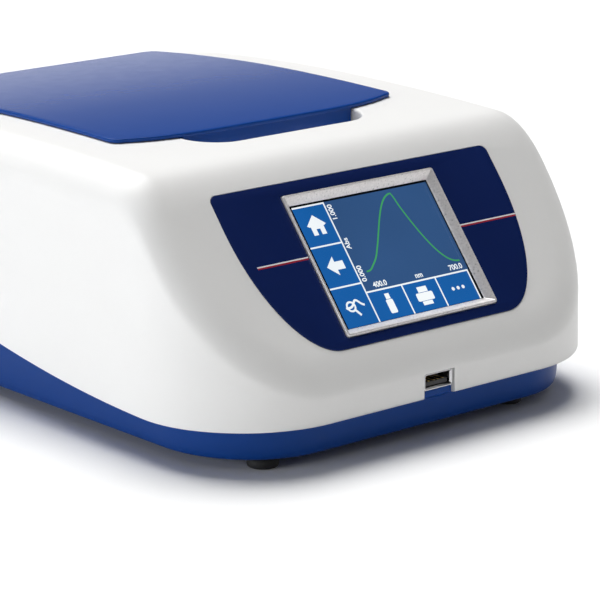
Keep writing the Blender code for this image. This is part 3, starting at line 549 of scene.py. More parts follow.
def lit(name, colour, strength, roughness=0.16):
    """A display colour behind gloss glass, faintly uneven as a backlight is."""
    material, tree, shader = new_material(name)
    glow = ramp(tree, noise(tree, 30.0, 1.0), scaled(colour, 0.93), scaled(colour, 1.06))
    tree.links.new(glow, shader.inputs["Emission Color"])
    shader.inputs["Emission Strength"].default_value = strength
    shader.inputs["Base Color"].default_value = (0.004, 0.004, 0.005, 1.0)
    tree.links.new(spread(tree, noise(tree, 240.0), roughness - 0.04, roughness + 0.04),
                   shader.inputs["Roughness"])
    return material


def circuit(name):
    """Green solder mask over faint copper tracks."""
    material, tree, shader = new_material(name)
    place = tree.nodes.new("ShaderNodeTexCoord")
    tracks = tree.nodes.new("ShaderNodeTexBrick")
    tracks.inputs["Scale"].default_value = 120.0
    tracks.inputs["Mortar Size"].default_value = 0.06
    tracks.inputs["Color1"].default_value = (0.012, 0.110, 0.045, 1.0)
    tracks.inputs["Color2"].default_value = (0.016, 0.130, 0.055, 1.0)
    tracks.inputs["Mortar"].default_value = (0.050, 0.230, 0.110, 1.0)
    tree.links.new(place.outputs["Object"], tracks.inputs["Vector"])
    tree.links.new(tracks.outputs["Color"], shader.inputs["Base Color"])
    tree.links.new(spread(tree, noise(tree, 300.0), 0.30, 0.42), shader.inputs["Roughness"])
    bumps(tree, shader, ((tracks.outputs["Fac"], -0.03 * MM), (noise(tree, 900.0), 0.01 * MM)))
    return material


def optic(name):
    """Fused silica: clear, with faint polishing marks."""
    material, tree, shader = new_material(name)
    shader.inputs["Base Color"].default_value = (0.94, 0.97, 1.0, 1.0)
    shader.inputs["Transmission Weight"].default_value = 0.85
    shader.inputs["IOR"].default_value = 1.46
    tree.links.new(spread(tree, noise(tree, 500.0), 0.01, 0.05), shader.inputs["Roughness"])
    bumps(tree, shader, ((noise(tree, 60.0), 0.004 * MM),))
    return material


def rubber(name):
    material, tree, shader = new_material(name)
    tree.links.new(ramp(tree, noise(tree, 60.0, 4.0), (0.010, 0.010, 0.011),
                        (0.022, 0.022, 0.024)), shader.inputs["Base Color"])
    tree.links.new(spread(tree, noise(tree, 400.0, 3.0), 0.62, 0.82), shader.inputs["Roughness"])
    bumps(tree, shader, ((noise(tree, 1500.0, 3.0), 0.05 * MM), (noise(tree, 220.0), 0.04 * MM)))
    return material


def make_materials():
    return {
        "case_white": moulded("case white", (0.88, 0.875, 0.862), 0.42, mottle=0.006,
                              specular=0.35),
        "base_blue": moulded("base blue", (0.005, 0.050, 0.250), 0.36, specular=0.12),
        "lid_blue": moulded("lid blue", (0.006, 0.058, 0.300), 0.22, grain=0.003 * MM,
                            specular=0.16),
        "fascia_navy": moulded("fascia navy", (0.006, 0.018, 0.105), 0.26, grain=0.004 * MM),
        "bezel_silver": brushed("bezel silver", (0.84, 0.81, 0.80), 0.33, (1.0, 1.0, 1.0),
                                1200.0, 0.30),
        "black_plastic": moulded("black plastic", (0.013, 0.013, 0.014), 0.45, mottle=0.12,
                                 grain=0.03 * MM),
        "foot_rubber": rubber("foot rubber"),
        "steel": brushed("steel", (0.60, 0.60, 0.61), 0.28, (0.08, 1.0, 1.0)),
        "aluminium": brushed("aluminium", (0.72, 0.73, 0.75), 0.40, (0.05, 1.0, 1.0)),
        "optic_glass": optic("fused silica"),
        "circuit_board": circuit("circuit board"),
        "screen": lit("screen off", (0.004, 0.006, 0.012), 1.0),
    }


def extra_materials():
    return {
        "plot": lit("plot background", (0.030, 0.085, 0.215), 1.0),
        "button": lit("button blue", (0.008, 0.105, 0.360), 1.05),
        "white": lit("display white", (0.90, 0.95, 1.0), 1.0),
        "trace": lit("trace green", (0.050, 0.330, 0.110), 1.0),
        "stripe_white": moulded("printed white", (0.88, 0.88, 0.90), 0.35),
        "stripe_red": moulded("printed red", (0.38, 0.012, 0.030), 0.35),
        "gold": brushed("contact gold", (0.83, 0.62, 0.28), 0.25, (1.0, 0.1, 1.0)),
        "dark": moulded("black border", (0.004, 0.004, 0.005), 0.25),
    }


# ---------------------------------------------------------------- case

def facet_matrix():
    return (Matrix.Translation((0.0, FACET_Y, FACET_Z))
            @ Matrix.Rotation(FACET_TILT, 4, "X"))


def fascia_outline(grow=0.0):
    """Navy panel: straight top, sides that curve in to a straight bottom edge."""
    steps = 36
    drop = FASCIA_STRAIGHT_TO - FASCIA_BOTTOM
    spread_x = FASCIA_HALF_WIDTH - FASCIA_BOTTOM_HALF
    side = []
    for step in range(steps, -1, -1):
        angle = math.pi / 2 * step / steps
        side.append((FASCIA_BOTTOM_HALF + spread_x * math.cos(angle),
                     FASCIA_STRAIGHT_TO - drop * math.sin(angle)))
    side += arc((FASCIA_HALF_WIDTH - FASCIA_CORNER, FASCIA_TOP - FASCIA_CORNER), FASCIA_CORNER,
                0, 90, 8)
    outline = side + [(-x, y) for x, y in reversed(side)]
    return offset_outline(outline, grow) if grow else outline


def fascia_half_width(y):
    """How far the navy panel reaches to either side at a height up the slope."""
    drop = (FASCIA_STRAIGHT_TO - y) / (FASCIA_STRAIGHT_TO - FASCIA_BOTTOM)
    drop = max(0.0, min(1.0, drop))
    return (FASCIA_BOTTOM_HALF
            + (FASCIA_HALF_WIDTH - FASCIA_BOTTOM_HALF) * math.sqrt(1 - drop ** 2))


def bezel_opening():
    """Opening for the bezel's frame, in the facet's plane."""
    return rounded_rectangle(BEZEL_HALF[0] + GAP, BEZEL_HALF[1] + GAP, 1.0 * MM)


def scoop_outline():
    """Finger scoop in front of the lid, open to the well behind it."""
    back = WELL_FRONT_Y + 3.0 * MM
    low = SCOOP_FRONT_Y + SCOOP_CORNER
    right = arc((SCOOP_HALF_X - SCOOP_CORNER, low), SCOOP_CORNER, 270, 360, 14)
    left = arc((-SCOOP_HALF_X + SCOOP_CORNER, low), SCOOP_CORNER, 180, 270, 14)
    return left + right + [(SCOOP_HALF_X, back), (-SCOOP_HALF_X, back)]


def recess_outline():
    """Hinge recess: a trough for the brackets, wider at the rear where the lid's corners swing."""
    front, rear = TROUGH_Y
    right = [(TROUGH_HALF_X, front), (TROUGH_HALF_X, SWING_FRONT_Y),
             (SWING_HALF_X, SWING_FRONT_Y), (SWING_HALF_X, rear)]
    return right + [(-x, y) for x, y in reversed(right)]


def roof_block(name, half_x, front, rear, bottom):
    """A block below the roof whose upper side runs inside the shell's wall."""
    steps = 12
    rings = []
    for step in range(steps + 1):
        y = front + (rear - front) * step / steps
        top = roof_height(y) - SHELL_WALL / 2
        rings.append([Vector((half_x, y, bottom)), Vector((half_x, y, top)),
                      Vector((-half_x, y, top)), Vector((-half_x, y, bottom))])
    return loft(name, rings, "fill", "fill")


def shell_mesh(outline):
    """The shell as one skin: outside from the rounded lower rim over the roof, and the inside."""
    rings = []
    rim_steps = 4
    for step in range(rim_steps + 1):
        angle = math.pi / 2 * step / rim_steps
        ring = []
        for point, normal in outline:
            inset = SHELL_EDGE * (1 - math.sin(angle))
            z = split_height(point.y) + SHELL_EDGE * (1 - math.cos(angle))
            place = point - normal * (inset + WALL_LEAN * (z - SPLIT_Z))
            ring.append(Vector((place.x, place.y, z)))
        rings.append(ring)
    wall_steps = 10
    shoulder_steps = 12
    rings += [shell_ring(outline, 0.0, "wall", 0.04 + 0.96 * step / wall_steps)
              for step in range(wall_steps + 1)]
    rings += [shell_ring(outline, 0.0, "shoulder", step / shoulder_steps)
              for step in range(1, shoulder_steps + 1)]
    outer = loft("outer skin", rings, None, "across")

    inner = [shell_ring(outline, SHELL_WALL, "wall", step / wall_steps)
             for step in range(wall_steps + 1)]
    inner += [shell_ring(outline, SHELL_WALL, "shoulder", step / 4) for step in range(1, 5)]
    cavity = loft("inner skin", inner, None, "across")

    bm = bmesh.new()
    bm.from_mesh(outer)
    outer_edge = [e for e in bm.edges if e.is_boundary]
    before = set(bm.edges)
    bm.from_mesh(cavity)
    inner_edge = [e for e in bm.edges if e.is_boundary and e not in before]
    bmesh.ops.bridge_loops(bm, edges=outer_edge + inner_edge)
    bmesh.ops.recalc_face_normals(bm, faces=bm.faces)
    return mesh_from(bm, "upper_shell_skin")


def add_upper_shell(outline, looks):
    shell = piece("upper_shell_skin", shell_mesh(outline), "case",
                  looks["case_white"])
    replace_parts(shell, "upper_shell")

    def roof_at(point):
        return roof_height(point[1])

    def facet_at(point):
        return FACET_LEVEL

    well_middle = (WELL_FRONT_Y + WELL_REAR_Y) / 2
    well = rounded_rectangle(WELL_HALF_X, (WELL_REAR_Y - WELL_FRONT_Y) / 2, WELL_CORNER,
                             centre=(0.0, well_middle))
    steps = [
        ("UNION", roof_block("scoop pad", SCOOP_PAD_HALF_X, *SCOOP_PAD_Y, SCOOP_PAD_FOOT_Z), None),
        ("UNION", roof_block("hinge pad", SWING_HALF_X + SHELL_WALL, *HINGE_PAD_Y,
                             HINGE_PAD_FOOT_Z), None),
        ("DIFFERENCE", lip_cutter("scoop", scoop_outline(), SCOOP_FLOOR_Z, SCOOP_LIP, roof_at,
                                  SCOOP_FLOOR_ROUND), None),
        ("DIFFERENCE", lip_cutter("well", well, WELL_BOTTOM_Z, 0.8 * MM, roof_at), None),
        ("DIFFERENCE", plate("hinge recess", [recess_outline()], TROUGH_Z, ABOVE_ROOF_Z,
                             0.8 * MM), None),
        ("DIFFERENCE", lip_cutter("pocket", fascia_outline(0.15 * MM),
                                  FACET_LEVEL - FASCIA_THICK - GAP, 0.35 * MM, facet_at),
         facet_matrix()),
        ("DIFFERENCE", plate("window", [bezel_opening()], -12 * MM, 12 * MM), facet_matrix()),
        ("DIFFERENCE", block("notch", (-NOTCH_HALF_X, FRONT_CUT_Y[0], 0),
                             (NOTCH_HALF_X, FRONT_CUT_Y[1], NOTCH_TOP_Z), 0.5 * MM), None),
    ]
    return shaped(shell, steps)


def hull_inset(normal, depth):
    """Inset of the base's outer face, with depth from 0 at the joint line to 1 at the underside."""
    end = HULL_FRONT_INSET if normal.y < 0 else HULL_REAR_INSET
    inset = HULL_SIDE_INSET + (end - HULL_SIDE_INSET) * normal.y ** 2
    return inset + HULL_TAPER * depth + HULL_ROUND * (1 - math.sqrt(1 - depth ** 8))


def base_rings(outline, wall):
    """Rings of the base's outer (wall 0) or inner face, from the lip down to the underside."""
    def joint_ring(rise, inset_of):
        ring = []
        for point, normal in outline:
            z = split_height(point.y) + rise
            place = point - normal * (inset_of(normal) + wall + WALL_LEAN * (z - SPLIT_Z))
            ring.append(Vector((*place, z)))
        return ring

    def lip(normal):
        return BASE_INSET

    def step(normal):
        return hull_inset(normal, 0.0)

    rings = [joint_ring(BASE_LIP, lip), joint_ring(wall, lip), joint_ring(wall, step)]
    if wall == 0.0:
        rings.append(joint_ring(-0.2 * MM, step))
    depths = [0.1, 0.3, 0.5] + [math.sin(math.radians(38 + 52 * step / 12)) for step in range(13)]
    for depth in depths:
        z = SPLIT_Z - (SPLIT_Z - BASE_BOTTOM_Z) * depth + wall
        rings.append([Vector((*(point - normal * (hull_inset(normal, depth) + wall)), z))
                      for point, normal in outline])
    return rings


def add_base(outline, looks):
    rings = list(reversed(base_rings(outline, 0.0))) + base_rings(outline, BASE_WALL)
    mesh = loft("base_tray_skin", rings, "across", "across")
    base = piece("base_tray_skin", mesh, "case", looks["base_blue"])
    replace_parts(base, "base_tray")
    floor = USB_Z - USB_SIZE[2] / 2 - GAP
    half_x = NOTCH_HALF_X + 0.4 * MM
    front = -HALF_DEPTH + USB_RECESS + LEDGE_BACK
    wall = -HALF_DEPTH + HULL_FRONT_INSET + BASE_WALL / 2
    ledge = [(wall, LEDGE_FOOT_Z), (wall, floor), (front, floor), (front, SPLIT_Z + 0.2 * MM)]
    steps = [
        ("UNION", plate("usb ledge", [ledge], -LEDGE_HALF_X, LEDGE_HALF_X, 0.4 * MM), UPRIGHT),
        ("DIFFERENCE", block("socket gap", (-half_x, FRONT_CUT_Y[0], floor),
                             (half_x, FRONT_CUT_Y[1], 40 * MM), 0.4 * MM), None),
        ("DIFFERENCE", block("rear opening", REAR_OPENING_LOW, REAR_OPENING_HIGH, 2.0 * MM), None),
    ]
    return shaped(base, steps)


def add_feet(looks):
    for end in ("front", "rear"):
        for side in ("left", "right"):
            node = f"foot_{end}_{side}"
            low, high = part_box(node)
            centre = (low + high) / 2
            top = high.z
            profile = [(0.0, top), (5.0 * MM, top), (5.4 * MM, top - 0.2 * MM),
                       (5.8 * MM, 3.4 * MM), (FOOT_RADIUS, 3.0 * MM), (FOOT_RADIUS, 1.1 * MM),
                       (5.8 * MM, 0.5 * MM), (5.4 * MM, 0.15 * MM), (4.9 * MM, 0.0),
                       (3.2 * MM, 0.0), (2.9 * MM, 0.3 * MM), (2.6 * MM, 0.9 * MM), (0.0, 1.0 * MM)]
            mesh = turned(f"{node}_rubber", profile)
            foot = piece(f"{node}_rubber", mesh, "case", looks["foot_rubber"],
                         Matrix.Translation((centre.x, centre.y, 0.0)))
            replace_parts(foot, node)


# ---------------------------------------------------------------- display

def add_fascia(looks, extras):
    low = FACET_LEVEL - FASCIA_THICK
    mesh = plate("fascia_skin", [fascia_outline(), bezel_opening()], low, FACET_LEVEL, 0.12 * MM)
    fascia = piece("fascia_skin", mesh, "case", looks["fascia_navy"],
                   facet_matrix())
    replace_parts(fascia, "fascia_panel")
    inner = BEZEL_HALF[0] + GAP + 0.3 * MM
    bands = (("stripe_white", 3.85 * MM, 4.40 * MM), ("stripe_red", 3.20 * MM, 3.82 * MM))
    for name, bottom, top in bands:
        right = fascia_half_width((bottom + top) / 2) - 0.25 * MM
        left = right - 5.0 * MM
        level = FACET_LEVEL + 0.03 * MM
        strips = [block("strip", (inner, bottom, level - 0.05 * MM), (right, top, level)),
                  block("strip", (-left, bottom, level - 0.05 * MM), (-inner, top, level))]
        piece(f"fascia_{name}", merged(name, strips), "case", extras[name],
              facet_matrix())


def add_bezel(looks):
    sections = [(0.0, 1.0, -BEZEL_DEPTH), (0.0, 1.0, -0.5 * MM), (0.06, 1.0, -0.25 * MM),
                (0.2, 0.9, -0.07 * MM), (0.42, 0.8, 0.0), (BEZEL_RIM / MM, 0.6, 0.0),
                (BEZEL_RIM / MM + 0.12, 0.5, -0.06 * MM)]
    rings = []
    for inset, corner, z in sections:
        half = (BEZEL_HALF[0] - inset * MM, BEZEL_HALF[1] - inset * MM)
        rings.append([Vector((*p, z)) for p in rounded_rectangle(*half, corner * MM)])
    for fraction, z in ((0.97, -2.8 * MM), (1.0, -BEZEL_DEPTH)):
        half = [outer - BEZEL_RIM - (outer - BEZEL_RIM - inner) * fraction
                for outer, inner in zip(BEZEL_HALF, SCREEN_HALF)]
        rings.append([Vector((*p, z)) for p in rounded_rectangle(*half, 0.3 * MM)])
    bezel = piece("bezel_frame", joined_loop("bezel_frame", rings), "case",
                  looks["bezel_silver"], facet_matrix())
    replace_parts(bezel, "display_bezel")


# Screen layout in the facet's frame: the lit area, the button column and row, and the plot
LIT_LEFT, LIT_RIGHT = -33.3 * MM, 34.8 * MM
LIT_BOTTOM, LIT_TOP = -25.8 * MM, 25.8 * MM
COLUMN_RIGHT = -17.7 * MM
COLUMN_BREAKS = (8.4 * MM, -9.1 * MM)
ROW_TOP = -13.3 * MM
ROW_BREAKS = (0.1 * MM, 17.4 * MM)
RULE = 0.65 * MM


def sheet_of(name, outlines, level):
    """Flat printed shapes at one height, each outline a face of its own."""
    bm = bmesh.new()
    for points in outlines:
        verts = [bm.verts.new((x, y, level)) for x, y in points]
        face = bm.faces.new(verts)
        face.normal_update()
        if face.normal.z < 0:
            face.normal_flip()
    return mesh_from(bm, name)


def rectangle(left, bottom, right, top):
    return [(left, bottom), (right, bottom), (right, top), (left, top)]


def moved(points, x, y, size=1.0):
    return [(x + px * size, y + py * size) for px, py in points]


def ring_shape(centre, radius, width, steps=28):
    """A circle line as short quads."""
    inner = arc(centre, radius - width / 2, 0, 360, steps)
    outer = arc(centre, radius + width / 2, 0, 360, steps)
    return [[inner[i], outer[i], outer[i + 1], inner[i + 1]] for i in range(steps)]


def ribbon(points, width):
    """An open line as one strip of quads with mitred joints."""
    rows = []
    for index, point in enumerate(points):
        here = Vector(point)
        before = Vector(points[max(0, index - 1)])
        after = Vector(points[min(len(points) - 1, index + 1)])
        along = (after - before).normalized()
        side = Vector((-along.y, along.x)) * width / 2
        rows.append((tuple(here + side), tuple(here - side)))
    return [[a[0], a[1], b[1], b[0]] for a, b in zip(rows, rows[1:])]


def house_icon():
    roof = [(-4.6, 0.2), (0.0, 4.4), (4.6, 0.2), (3.6, -0.4), (-3.6, -0.4)]
    left = [(-3.1, -0.4), (-3.1, -4.0), (-0.9, -4.0), (-0.9, -0.4)]
    right = [(0.9, -0.4), (0.9, -4.0), (3.1, -4.0), (3.1, -0.4)]
    lintel = [(-0.9, -0.4), (-0.9, -1.5), (0.9, -1.5), (0.9, -0.4)]
    return [roof, left, right, lintel]


def arrow_icon():
    return [[(-4.4, 0.0), (0.0, 4.0), (0.0, -4.0)],
            [(0.0, 1.7), (0.0, -1.7), (4.0, -1.7), (4.0, 1.7)]]


def trace_icon():
    """A lens over a rising line."""
    wave = [(-4.6 + 9.2 * t / 24, 2.6 * math.exp(-((t - 15) / 5) ** 2) - 0.4) for t in range(25)]
    handle = [(-1.2, -1.8), (0.6, -4.4), (1.4, -3.8), (-0.4, -1.2)]
    return ribbon(wave, 0.9) + ring_shape((-2.0, 0.0), 1.9, 0.8) + [handle]


def stick_icon():
    body = rounded_rectangle(1.7, 2.9, 0.6, 3, (0.0, -1.2))
    plug = rectangle(-1.1, 1.9, 1.1, 4.2)
    return [body, plug]


def printer_icon():
    return [rectangle(-2.4, 1.5, 2.4, 3.8), rounded_rectangle(4.2, 1.7, 0.6, 3, (0.0, -0.4)),
            rectangle(-2.5, -3.9, 2.5, -2.3)]


def dots_icon():
    return [arc((x, 0.0), 0.75, 0, 345, 23) for x in (-2.6, 0.0, 2.6)]


def plot_trace():
    """One absorbance peak: a slow rise, a rounded top and a steep fall to a flat tail."""
    start, peak, end = Vector((-12.8, -5.2)), Vector((15.6, 24.0)), Vector((33.2, -8.7))
    points = []
    steps = 40
    for step in range(steps + 1):
        t = step / steps
        rise = t * t * (3 - 2 * t)
        wobble = 0.35 * math.sin(9 * math.pi * t) * max(0.0, 1 - 2.6 * t)
        points.append((start.x + (peak.x - start.x) * t + wobble,
                       start.y + (peak.y - start.y) * rise))
    for step in range(1, steps + 1):
        t = step / steps
        fall = 1 - (1 - t) ** 2.3
        soft = fall * min(1.0, t / 0.1 + 0.25)
        points.append((peak.x + (end.x - peak.x) * t, peak.y + (end.y - peak.y) * soft))
    return [(x * MM, y * MM) for x, y in points]


def label(words, x, y, size, turn, level):
    """Small generic lettering as a mesh, centred on a point of the screen."""
    curve = bpy.data.curves.new(f"label {words}", "FONT")
    curve.body = words
    curve.size = size
    curve.align_x = "CENTER"
    curve.align_y = "CENTER"
    curve.offset = 0.07 * MM
    mesh = mesh_of_curve(f"label {words}", curve)
    mesh.transform(Matrix.Translation((x, y, level)) @ Matrix.Rotation(math.radians(turn), 4, "Z"))
    return mesh


def add_screen(extras):
    glass = GLASS_LEVEL
    low, high = glass - 1.1 * MM, glass
    panel = plate("glass_panel", [rounded_rectangle(40 * MM, 31 * MM, 1.0 * MM)], low, high,
                  0.15 * MM)
    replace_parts(piece("glass_panel", panel, "case", extras["dark"], facet_matrix()),
                "touch_glass")
    step = 0.03 * MM

    def show(name, shapes, layer, look):
        mesh = sheet_of(name, shapes, glass + layer * step)
        piece(name, mesh, "case", extras[look], facet_matrix())

    show("screen_plot", [rectangle(COLUMN_RIGHT, ROW_TOP, LIT_RIGHT + 0.5 * MM, LIT_TOP)], 1,
         "plot")
    rows = [LIT_TOP, *COLUMN_BREAKS, LIT_BOTTOM]
    columns = [COLUMN_RIGHT, *ROW_BREAKS, LIT_RIGHT]
    buttons = [rectangle(LIT_LEFT, lower, COLUMN_RIGHT, upper)
               for upper, lower in zip(rows, rows[1:])]
    buttons += [rectangle(left, LIT_BOTTOM, right, ROW_TOP)
                for left, right in zip(columns, columns[1:])]
    show("screen_buttons", buttons, 1, "button")

    half = RULE / 2
    rules = [rectangle(LIT_LEFT, y - half, COLUMN_RIGHT, y + half)
             for y in (*COLUMN_BREAKS, LIT_TOP - half)]
    rules += [rectangle(x - half, LIT_BOTTOM, x + half, ROW_TOP)
              for x in (*ROW_BREAKS, LIT_RIGHT - half)]
    rules += [rectangle(COLUMN_RIGHT - half, LIT_BOTTOM, COLUMN_RIGHT + half, LIT_TOP),
              rectangle(COLUMN_RIGHT, ROW_TOP - half, LIT_RIGHT, ROW_TOP + half)]
    show("screen_rules", rules, 2, "white")

    column_x = (LIT_LEFT + COLUMN_RIGHT) / 2
    row_y = (LIT_BOTTOM + ROW_TOP) / 2
    icons = []
    for icon, upper, lower in zip((house_icon, arrow_icon, trace_icon), rows, rows[1:]):
        icons += [moved(shape, column_x, (upper + lower) / 2, MM) for shape in icon()]
    for icon, left, right in zip((stick_icon, printer_icon, dots_icon), columns, columns[1:]):
        icons += [moved(shape, (left + right) / 2, row_y, MM) for shape in icon()]
    show("screen_icons", icons, 3, "white")
    show("screen_trace", ribbon(plot_trace(), 0.7 * MM), 2, "trace")

    level = glass + 3 * step
    size = 3.1 * MM
    beside, over = COLUMN_RIGHT + 2.2 * MM, ROW_TOP + 2.2 * MM
    words = [("1.000", beside, 21.0 * MM, 90), ("Abs", beside, 7.5 * MM, 90),
             ("0.000", beside, -5.5 * MM, 90), ("400.0", -9.5 * MM, over, 0),
             ("nm", 10.4 * MM, over, 0), ("700.0", 29.6 * MM, over, 0)]
    meshes = [label(text, x, y, size, turn, level) for text, x, y, turn in words]
    piece("screen_labels", merged("screen_labels", meshes), "case", extras["white"],
          facet_matrix())


# ---------------------------------------------------------------- lid

def lid_outline():
    """The whole lid in plan, counter-clockwise from the front centre."""
    right = []
    steps = 26
    reach = LID_HALF_WIDTH - LID_CORNER
    for step in range(steps + 1):
        x = reach * step / steps
        right.append((x, LID_FRONT_Y + LID_FRONT_BOW * (x / LID_HALF_WIDTH) ** 4))
    shoulder_y = right[-1][1] + LID_CORNER
    right += arc((reach, shoulder_y), LID_CORNER, -68, 0, 8)
    rear = LID_REAR_Y - LID_CORNER
    count = 44
    right += [(LID_HALF_WIDTH, shoulder_y + (rear - shoulder_y) * step / count)
              for step in range(1, count)]
    right += arc((reach, rear), LID_CORNER, 0, 90, 8)
    right.append((0.0, LID_REAR_Y))
    return right + [(-x, y) for x, y in reversed(right[1:-1])]


def add_lid(looks):
    outline = lid_outline()
    under = LID_PROUD - LID_THICK
    sections = [(-4.0 * MM, under), (-0.5 * MM, under), (-0.15 * MM, under + 0.12 * MM),
                (0.0, under + 0.4 * MM)]
    for step in range(7):
        angle = math.pi / 2 * step / 6
        sections.append((-LID_EDGE * (1 - math.cos(angle)),
                         LID_PROUD - LID_EDGE * (1 - math.sin(angle))))
    sections.append((-2.0 * MM, LID_PROUD))
    rings = []
    for offset, proud in sections:
        points = offset_outline(outline, offset)
        rings.append([Vector((*p, roof_height(p[1]) + proud)) for p in points])
    cover = piece("lid_cover", loft("lid_cover", rings, "across", "across"), "lid",
                  looks["lid_blue"])
    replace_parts(cover, "lid")

    wall = 1.8 * MM
    front, rear = WELL_FRONT_Y + 2 * MM, WELL_REAR_Y - 2 * MM
    half_x, half_y = WELL_HALF_X - 2.5 * MM, (rear - front) / 2
    middle = (0.0, (front + rear) / 2)
    low = TUB_RIM_Z + 0.8 * MM
    profile = [(0.0, None), (0.0, 0.5 * MM), (-0.15 * MM, 0.15 * MM), (-0.5 * MM, 0.0),
               (-wall + 0.5 * MM, 0.0), (-wall + 0.15 * MM, 0.15 * MM), (-wall, 0.5 * MM),
               (-wall, None)]
    rings = []
    for offset, rise in profile:
        points = rounded_rectangle(half_x + offset, half_y + offset, 4 * MM + offset, 8, middle)
        rings.append([Vector((*p, roof_height(p[1]) + under if rise is None else low + rise))
                      for p in points])
    piece("lid_skirt", loft("lid_skirt", rings), "lid", looks["lid_blue"])

    front_wall = block("lid_front_wall", (-FRONT_WALL_HALF_X, FRONT_WALL_Y, FRONT_WALL_FOOT_Z),
                       (FRONT_WALL_HALF_X, FRONT_WALL_Y + FRONT_WALL_THICK, FRONT_WALL_TOP_Z),
                       0.5 * MM)
    piece("lid_front_wall", front_wall, "lid", looks["lid_blue"])

    lug = arc((HINGE_Y, HINGE_Z), LUG_RADIUS, 180, 360, 20)
    lug += [(HINGE_Y + LUG_RADIUS, LUG_TOP_Z), (HINGE_Y - LUG_RADIUS, LUG_TOP_Z)]
    bore = arc((HINGE_Y, HINGE_Z), LUG_BORE, 360, 15, 23)
    for side, place in ((-1, "left"), (1, "right")):
        mesh = plate(f"lid_lug_{place}", [lug, bore], -5 * MM, 5 * MM, 0.3 * MM)
        piece(f"lid_lug_{place}", mesh, "lid", looks["lid_blue"],
              Matrix.Translation((side * HINGE_X, 0.0, 0.0)) @ UPRIGHT)


# ---------------------------------------------------------------- connectors

def add_front_usb(looks, extras):
    """Folded steel shield with flared lips, a black tongue and four contacts."""
    width, _, height = USB_SIZE
    low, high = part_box("front_usb_socket")
    front, back = low.y, high.y
    sheet = 0.35 * MM
    flare = 0.55 * MM
    sections = [(0.0, back), (0.0, front + 1.2 * MM), (0.1 * MM, front + 0.7 * MM),
                (flare - 0.1 * MM, front + 0.1 * MM), (flare - 0.1 * MM, front),
                (flare - sheet, front), (0.0 - sheet, front + 0.8 * MM),
                (-sheet, front + 1.4 * MM), (-sheet, back - sheet)]
    rings = []
    for grow, y in sections:
        half = (width / 2 - flare + grow, height / 2 - flare + grow)
        rings.append([Vector((x, y, USB_Z + z)) for x, z in rounded_rectangle(*half, 0.5 * MM, 4)])
    socket = piece("front_usb_shield", loft("front_usb_shield", rings, "fill", "fill"), "case",
                   looks["steel"])
    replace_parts(socket, "front_usb_socket")
    low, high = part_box("front_usb_tongue")
    tongue = block("front_usb_insert", low, high, 0.25 * MM)
    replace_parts(piece("front_usb_insert", tongue, "case",
                      looks["black_plastic"]), "front_usb_tongue")
    contacts = []
    for x in (-3.5, -1.1, 1.1, 3.5):
        contacts.append(block("contact", (x * MM - 0.6 * MM, low.y + 0.3 * MM, high.z - 0.05 * MM),
                              (x * MM + 0.6 * MM, high.y - 0.5 * MM, high.z + 0.12 * MM),
                              0.05 * MM))
    piece("front_usb_contacts", merged("front_usb_contacts", contacts), "case",
          extras["gold"])


# ---------------------------------------------------------------- CAD pieces kept

def dress_nodes(looks):
    """Gives every CAD piece that still shows its fine material, by the record's slot for it."""
    slots = {entry["node"]: entry["material_slot"] for entry in frame["record"]["subparts"]}
    for name, obj in frame["nodes"].items():
        if obj.hide_render:
            continue
        obj.data.materials.clear()
        obj.data.materials.append(looks[slots[name]])


# ---------------------------------------------------------------- studio

def area_light(name, place, target, size, energy, colour):
    light = bpy.data.lights.new(name, "AREA")
    light.shape = "RECTANGLE"
    light.size, light.size_y = size
    light.energy = energy
    light.color = colour
    obj = bpy.data.objects.new(name, light)
    obj.location = place
    obj.rotation_euler = (Vector(target) - Vector(place)).to_track_quat("-Z", "Y").to_euler()
    bpy.context.scene.collection.objects.link(obj)


def add_backdrop(scene):
    """White to the camera; to gloss, a bright horizon under a darker sky; dim to diffuse light."""
    world = bpy.data.worlds.new("studio")
    scene.world = world
    world.use_nodes = True
    tree = world.node_tree
    place = tree.nodes.new("ShaderNodeTexCoord")
    split = tree.nodes.new("ShaderNodeSeparateXYZ")
    tree.links.new(place.outputs["Generated"], split.inputs["Vector"])
    height = tree.nodes.new("ShaderNodeMapRange")
    height.interpolation_type = "SMOOTHSTEP"
    height.inputs["From Min"].default_value = HORIZON_BAND[0]
    height.inputs["From Max"].default_value = HORIZON_BAND[1]
    height.inputs["To Min"].default_value = HORIZON_GLOSS
    height.inputs["To Max"].default_value = SKY_GLOSS
    tree.links.new(split.outputs["Z"], height.inputs["Value"])
    path = tree.nodes.new("ShaderNodeLightPath")
    gloss = tree.nodes.new("ShaderNodeMix")
    gloss.inputs["B"].default_value = AMBIENT
    tree.links.new(path.outputs["Is Diffuse Ray"], gloss.inputs["Factor"])
    tree.links.new(height.outputs["Result"], gloss.inputs["A"])
    seen = tree.nodes.new("ShaderNodeMix")
    seen.inputs["B"].default_value = 1.0
    tree.links.new(path.outputs["Is Camera Ray"], seen.inputs["Factor"])
    tree.links.new(gloss.outputs["Result"], seen.inputs["A"])
    tree.links.new(seen.outputs["Result"], tree.nodes["Background"].inputs["Strength"])
    tree.nodes["Background"].inputs["Color"].default_value = (1.0, 1.0, 1.0, 1.0)


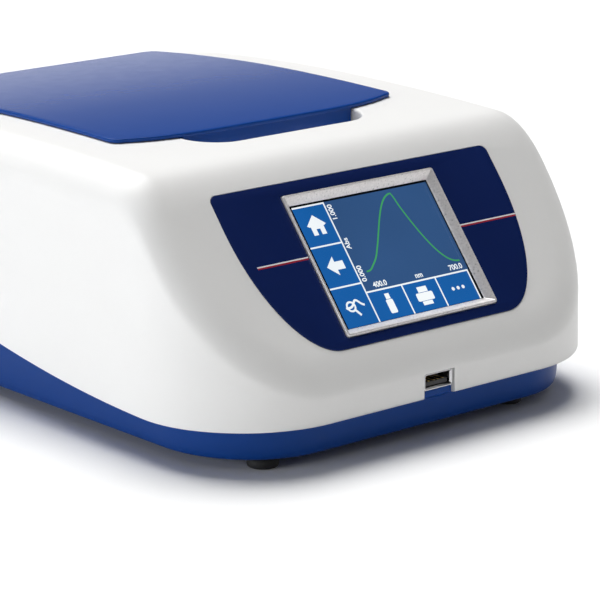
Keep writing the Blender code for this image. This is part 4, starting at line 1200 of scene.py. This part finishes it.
def add_studio():
    scene = bpy.context.scene
    scene.view_settings.view_transform = "Standard"
    camera = bpy.data.cameras.new("camera")
    camera.lens = CAMERA_LENS
    camera.sensor_width = 36.0
    camera.clip_end = 50.0
    holder = bpy.data.objects.new("camera", camera)
    holder.location = CAMERA_PLACE
    holder.rotation_euler = (math.radians(90 - CAMERA_DOWN), 0.0, math.radians(CAMERA_TURN))
    scene.collection.objects.link(holder)
    scene.camera = holder

    add_backdrop(scene)
    overhead = bpy.data.lights.new("overhead", "SUN")
    overhead.energy = OVERHEAD_STRENGTH
    overhead.angle = math.radians(OVERHEAD_SPREAD)
    above = bpy.data.objects.new("overhead", overhead)
    above.rotation_euler = Vector(OVERHEAD_FROM).to_track_quat("Z", "Y").to_euler()
    scene.collection.objects.link(above)
    area_light("side", (-1.5, 0.2, 0.28), (0.0, -0.02, 0.05), (1.0, 0.5), 7.5, (0.93, 0.96, 1.0))

    bm = bmesh.new()
    bmesh.ops.create_grid(bm, x_segments=8, y_segments=8, size=FLOOR_HALF)
    mesh = mesh_from(bm, "floor")
    floor = bpy.data.objects.new("floor", mesh)
    scene.collection.objects.link(floor)
    mesh.materials.append(moulded("floor white", (1.0, 1.0, 1.0), 0.6, mottle=0.0, specular=0.2))


# ---------------------------------------------------------------- assembly

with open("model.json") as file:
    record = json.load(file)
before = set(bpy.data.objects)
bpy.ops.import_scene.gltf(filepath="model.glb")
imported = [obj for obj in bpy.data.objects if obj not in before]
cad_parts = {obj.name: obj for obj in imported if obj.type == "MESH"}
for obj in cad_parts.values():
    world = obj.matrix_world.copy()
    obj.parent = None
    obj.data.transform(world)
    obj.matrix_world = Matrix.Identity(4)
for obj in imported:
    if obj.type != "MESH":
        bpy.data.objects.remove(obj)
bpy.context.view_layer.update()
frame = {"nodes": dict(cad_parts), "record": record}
materials = make_materials()
extra = extra_materials()
plan = case_outline()
add_upper_shell(plan, materials)
add_base(plan, materials)
add_feet(materials)
add_fascia(materials, extra)
add_bezel(materials)
add_screen(extra)
add_lid(materials)
add_front_usb(materials, extra)
dress_nodes(materials)
add_studio()
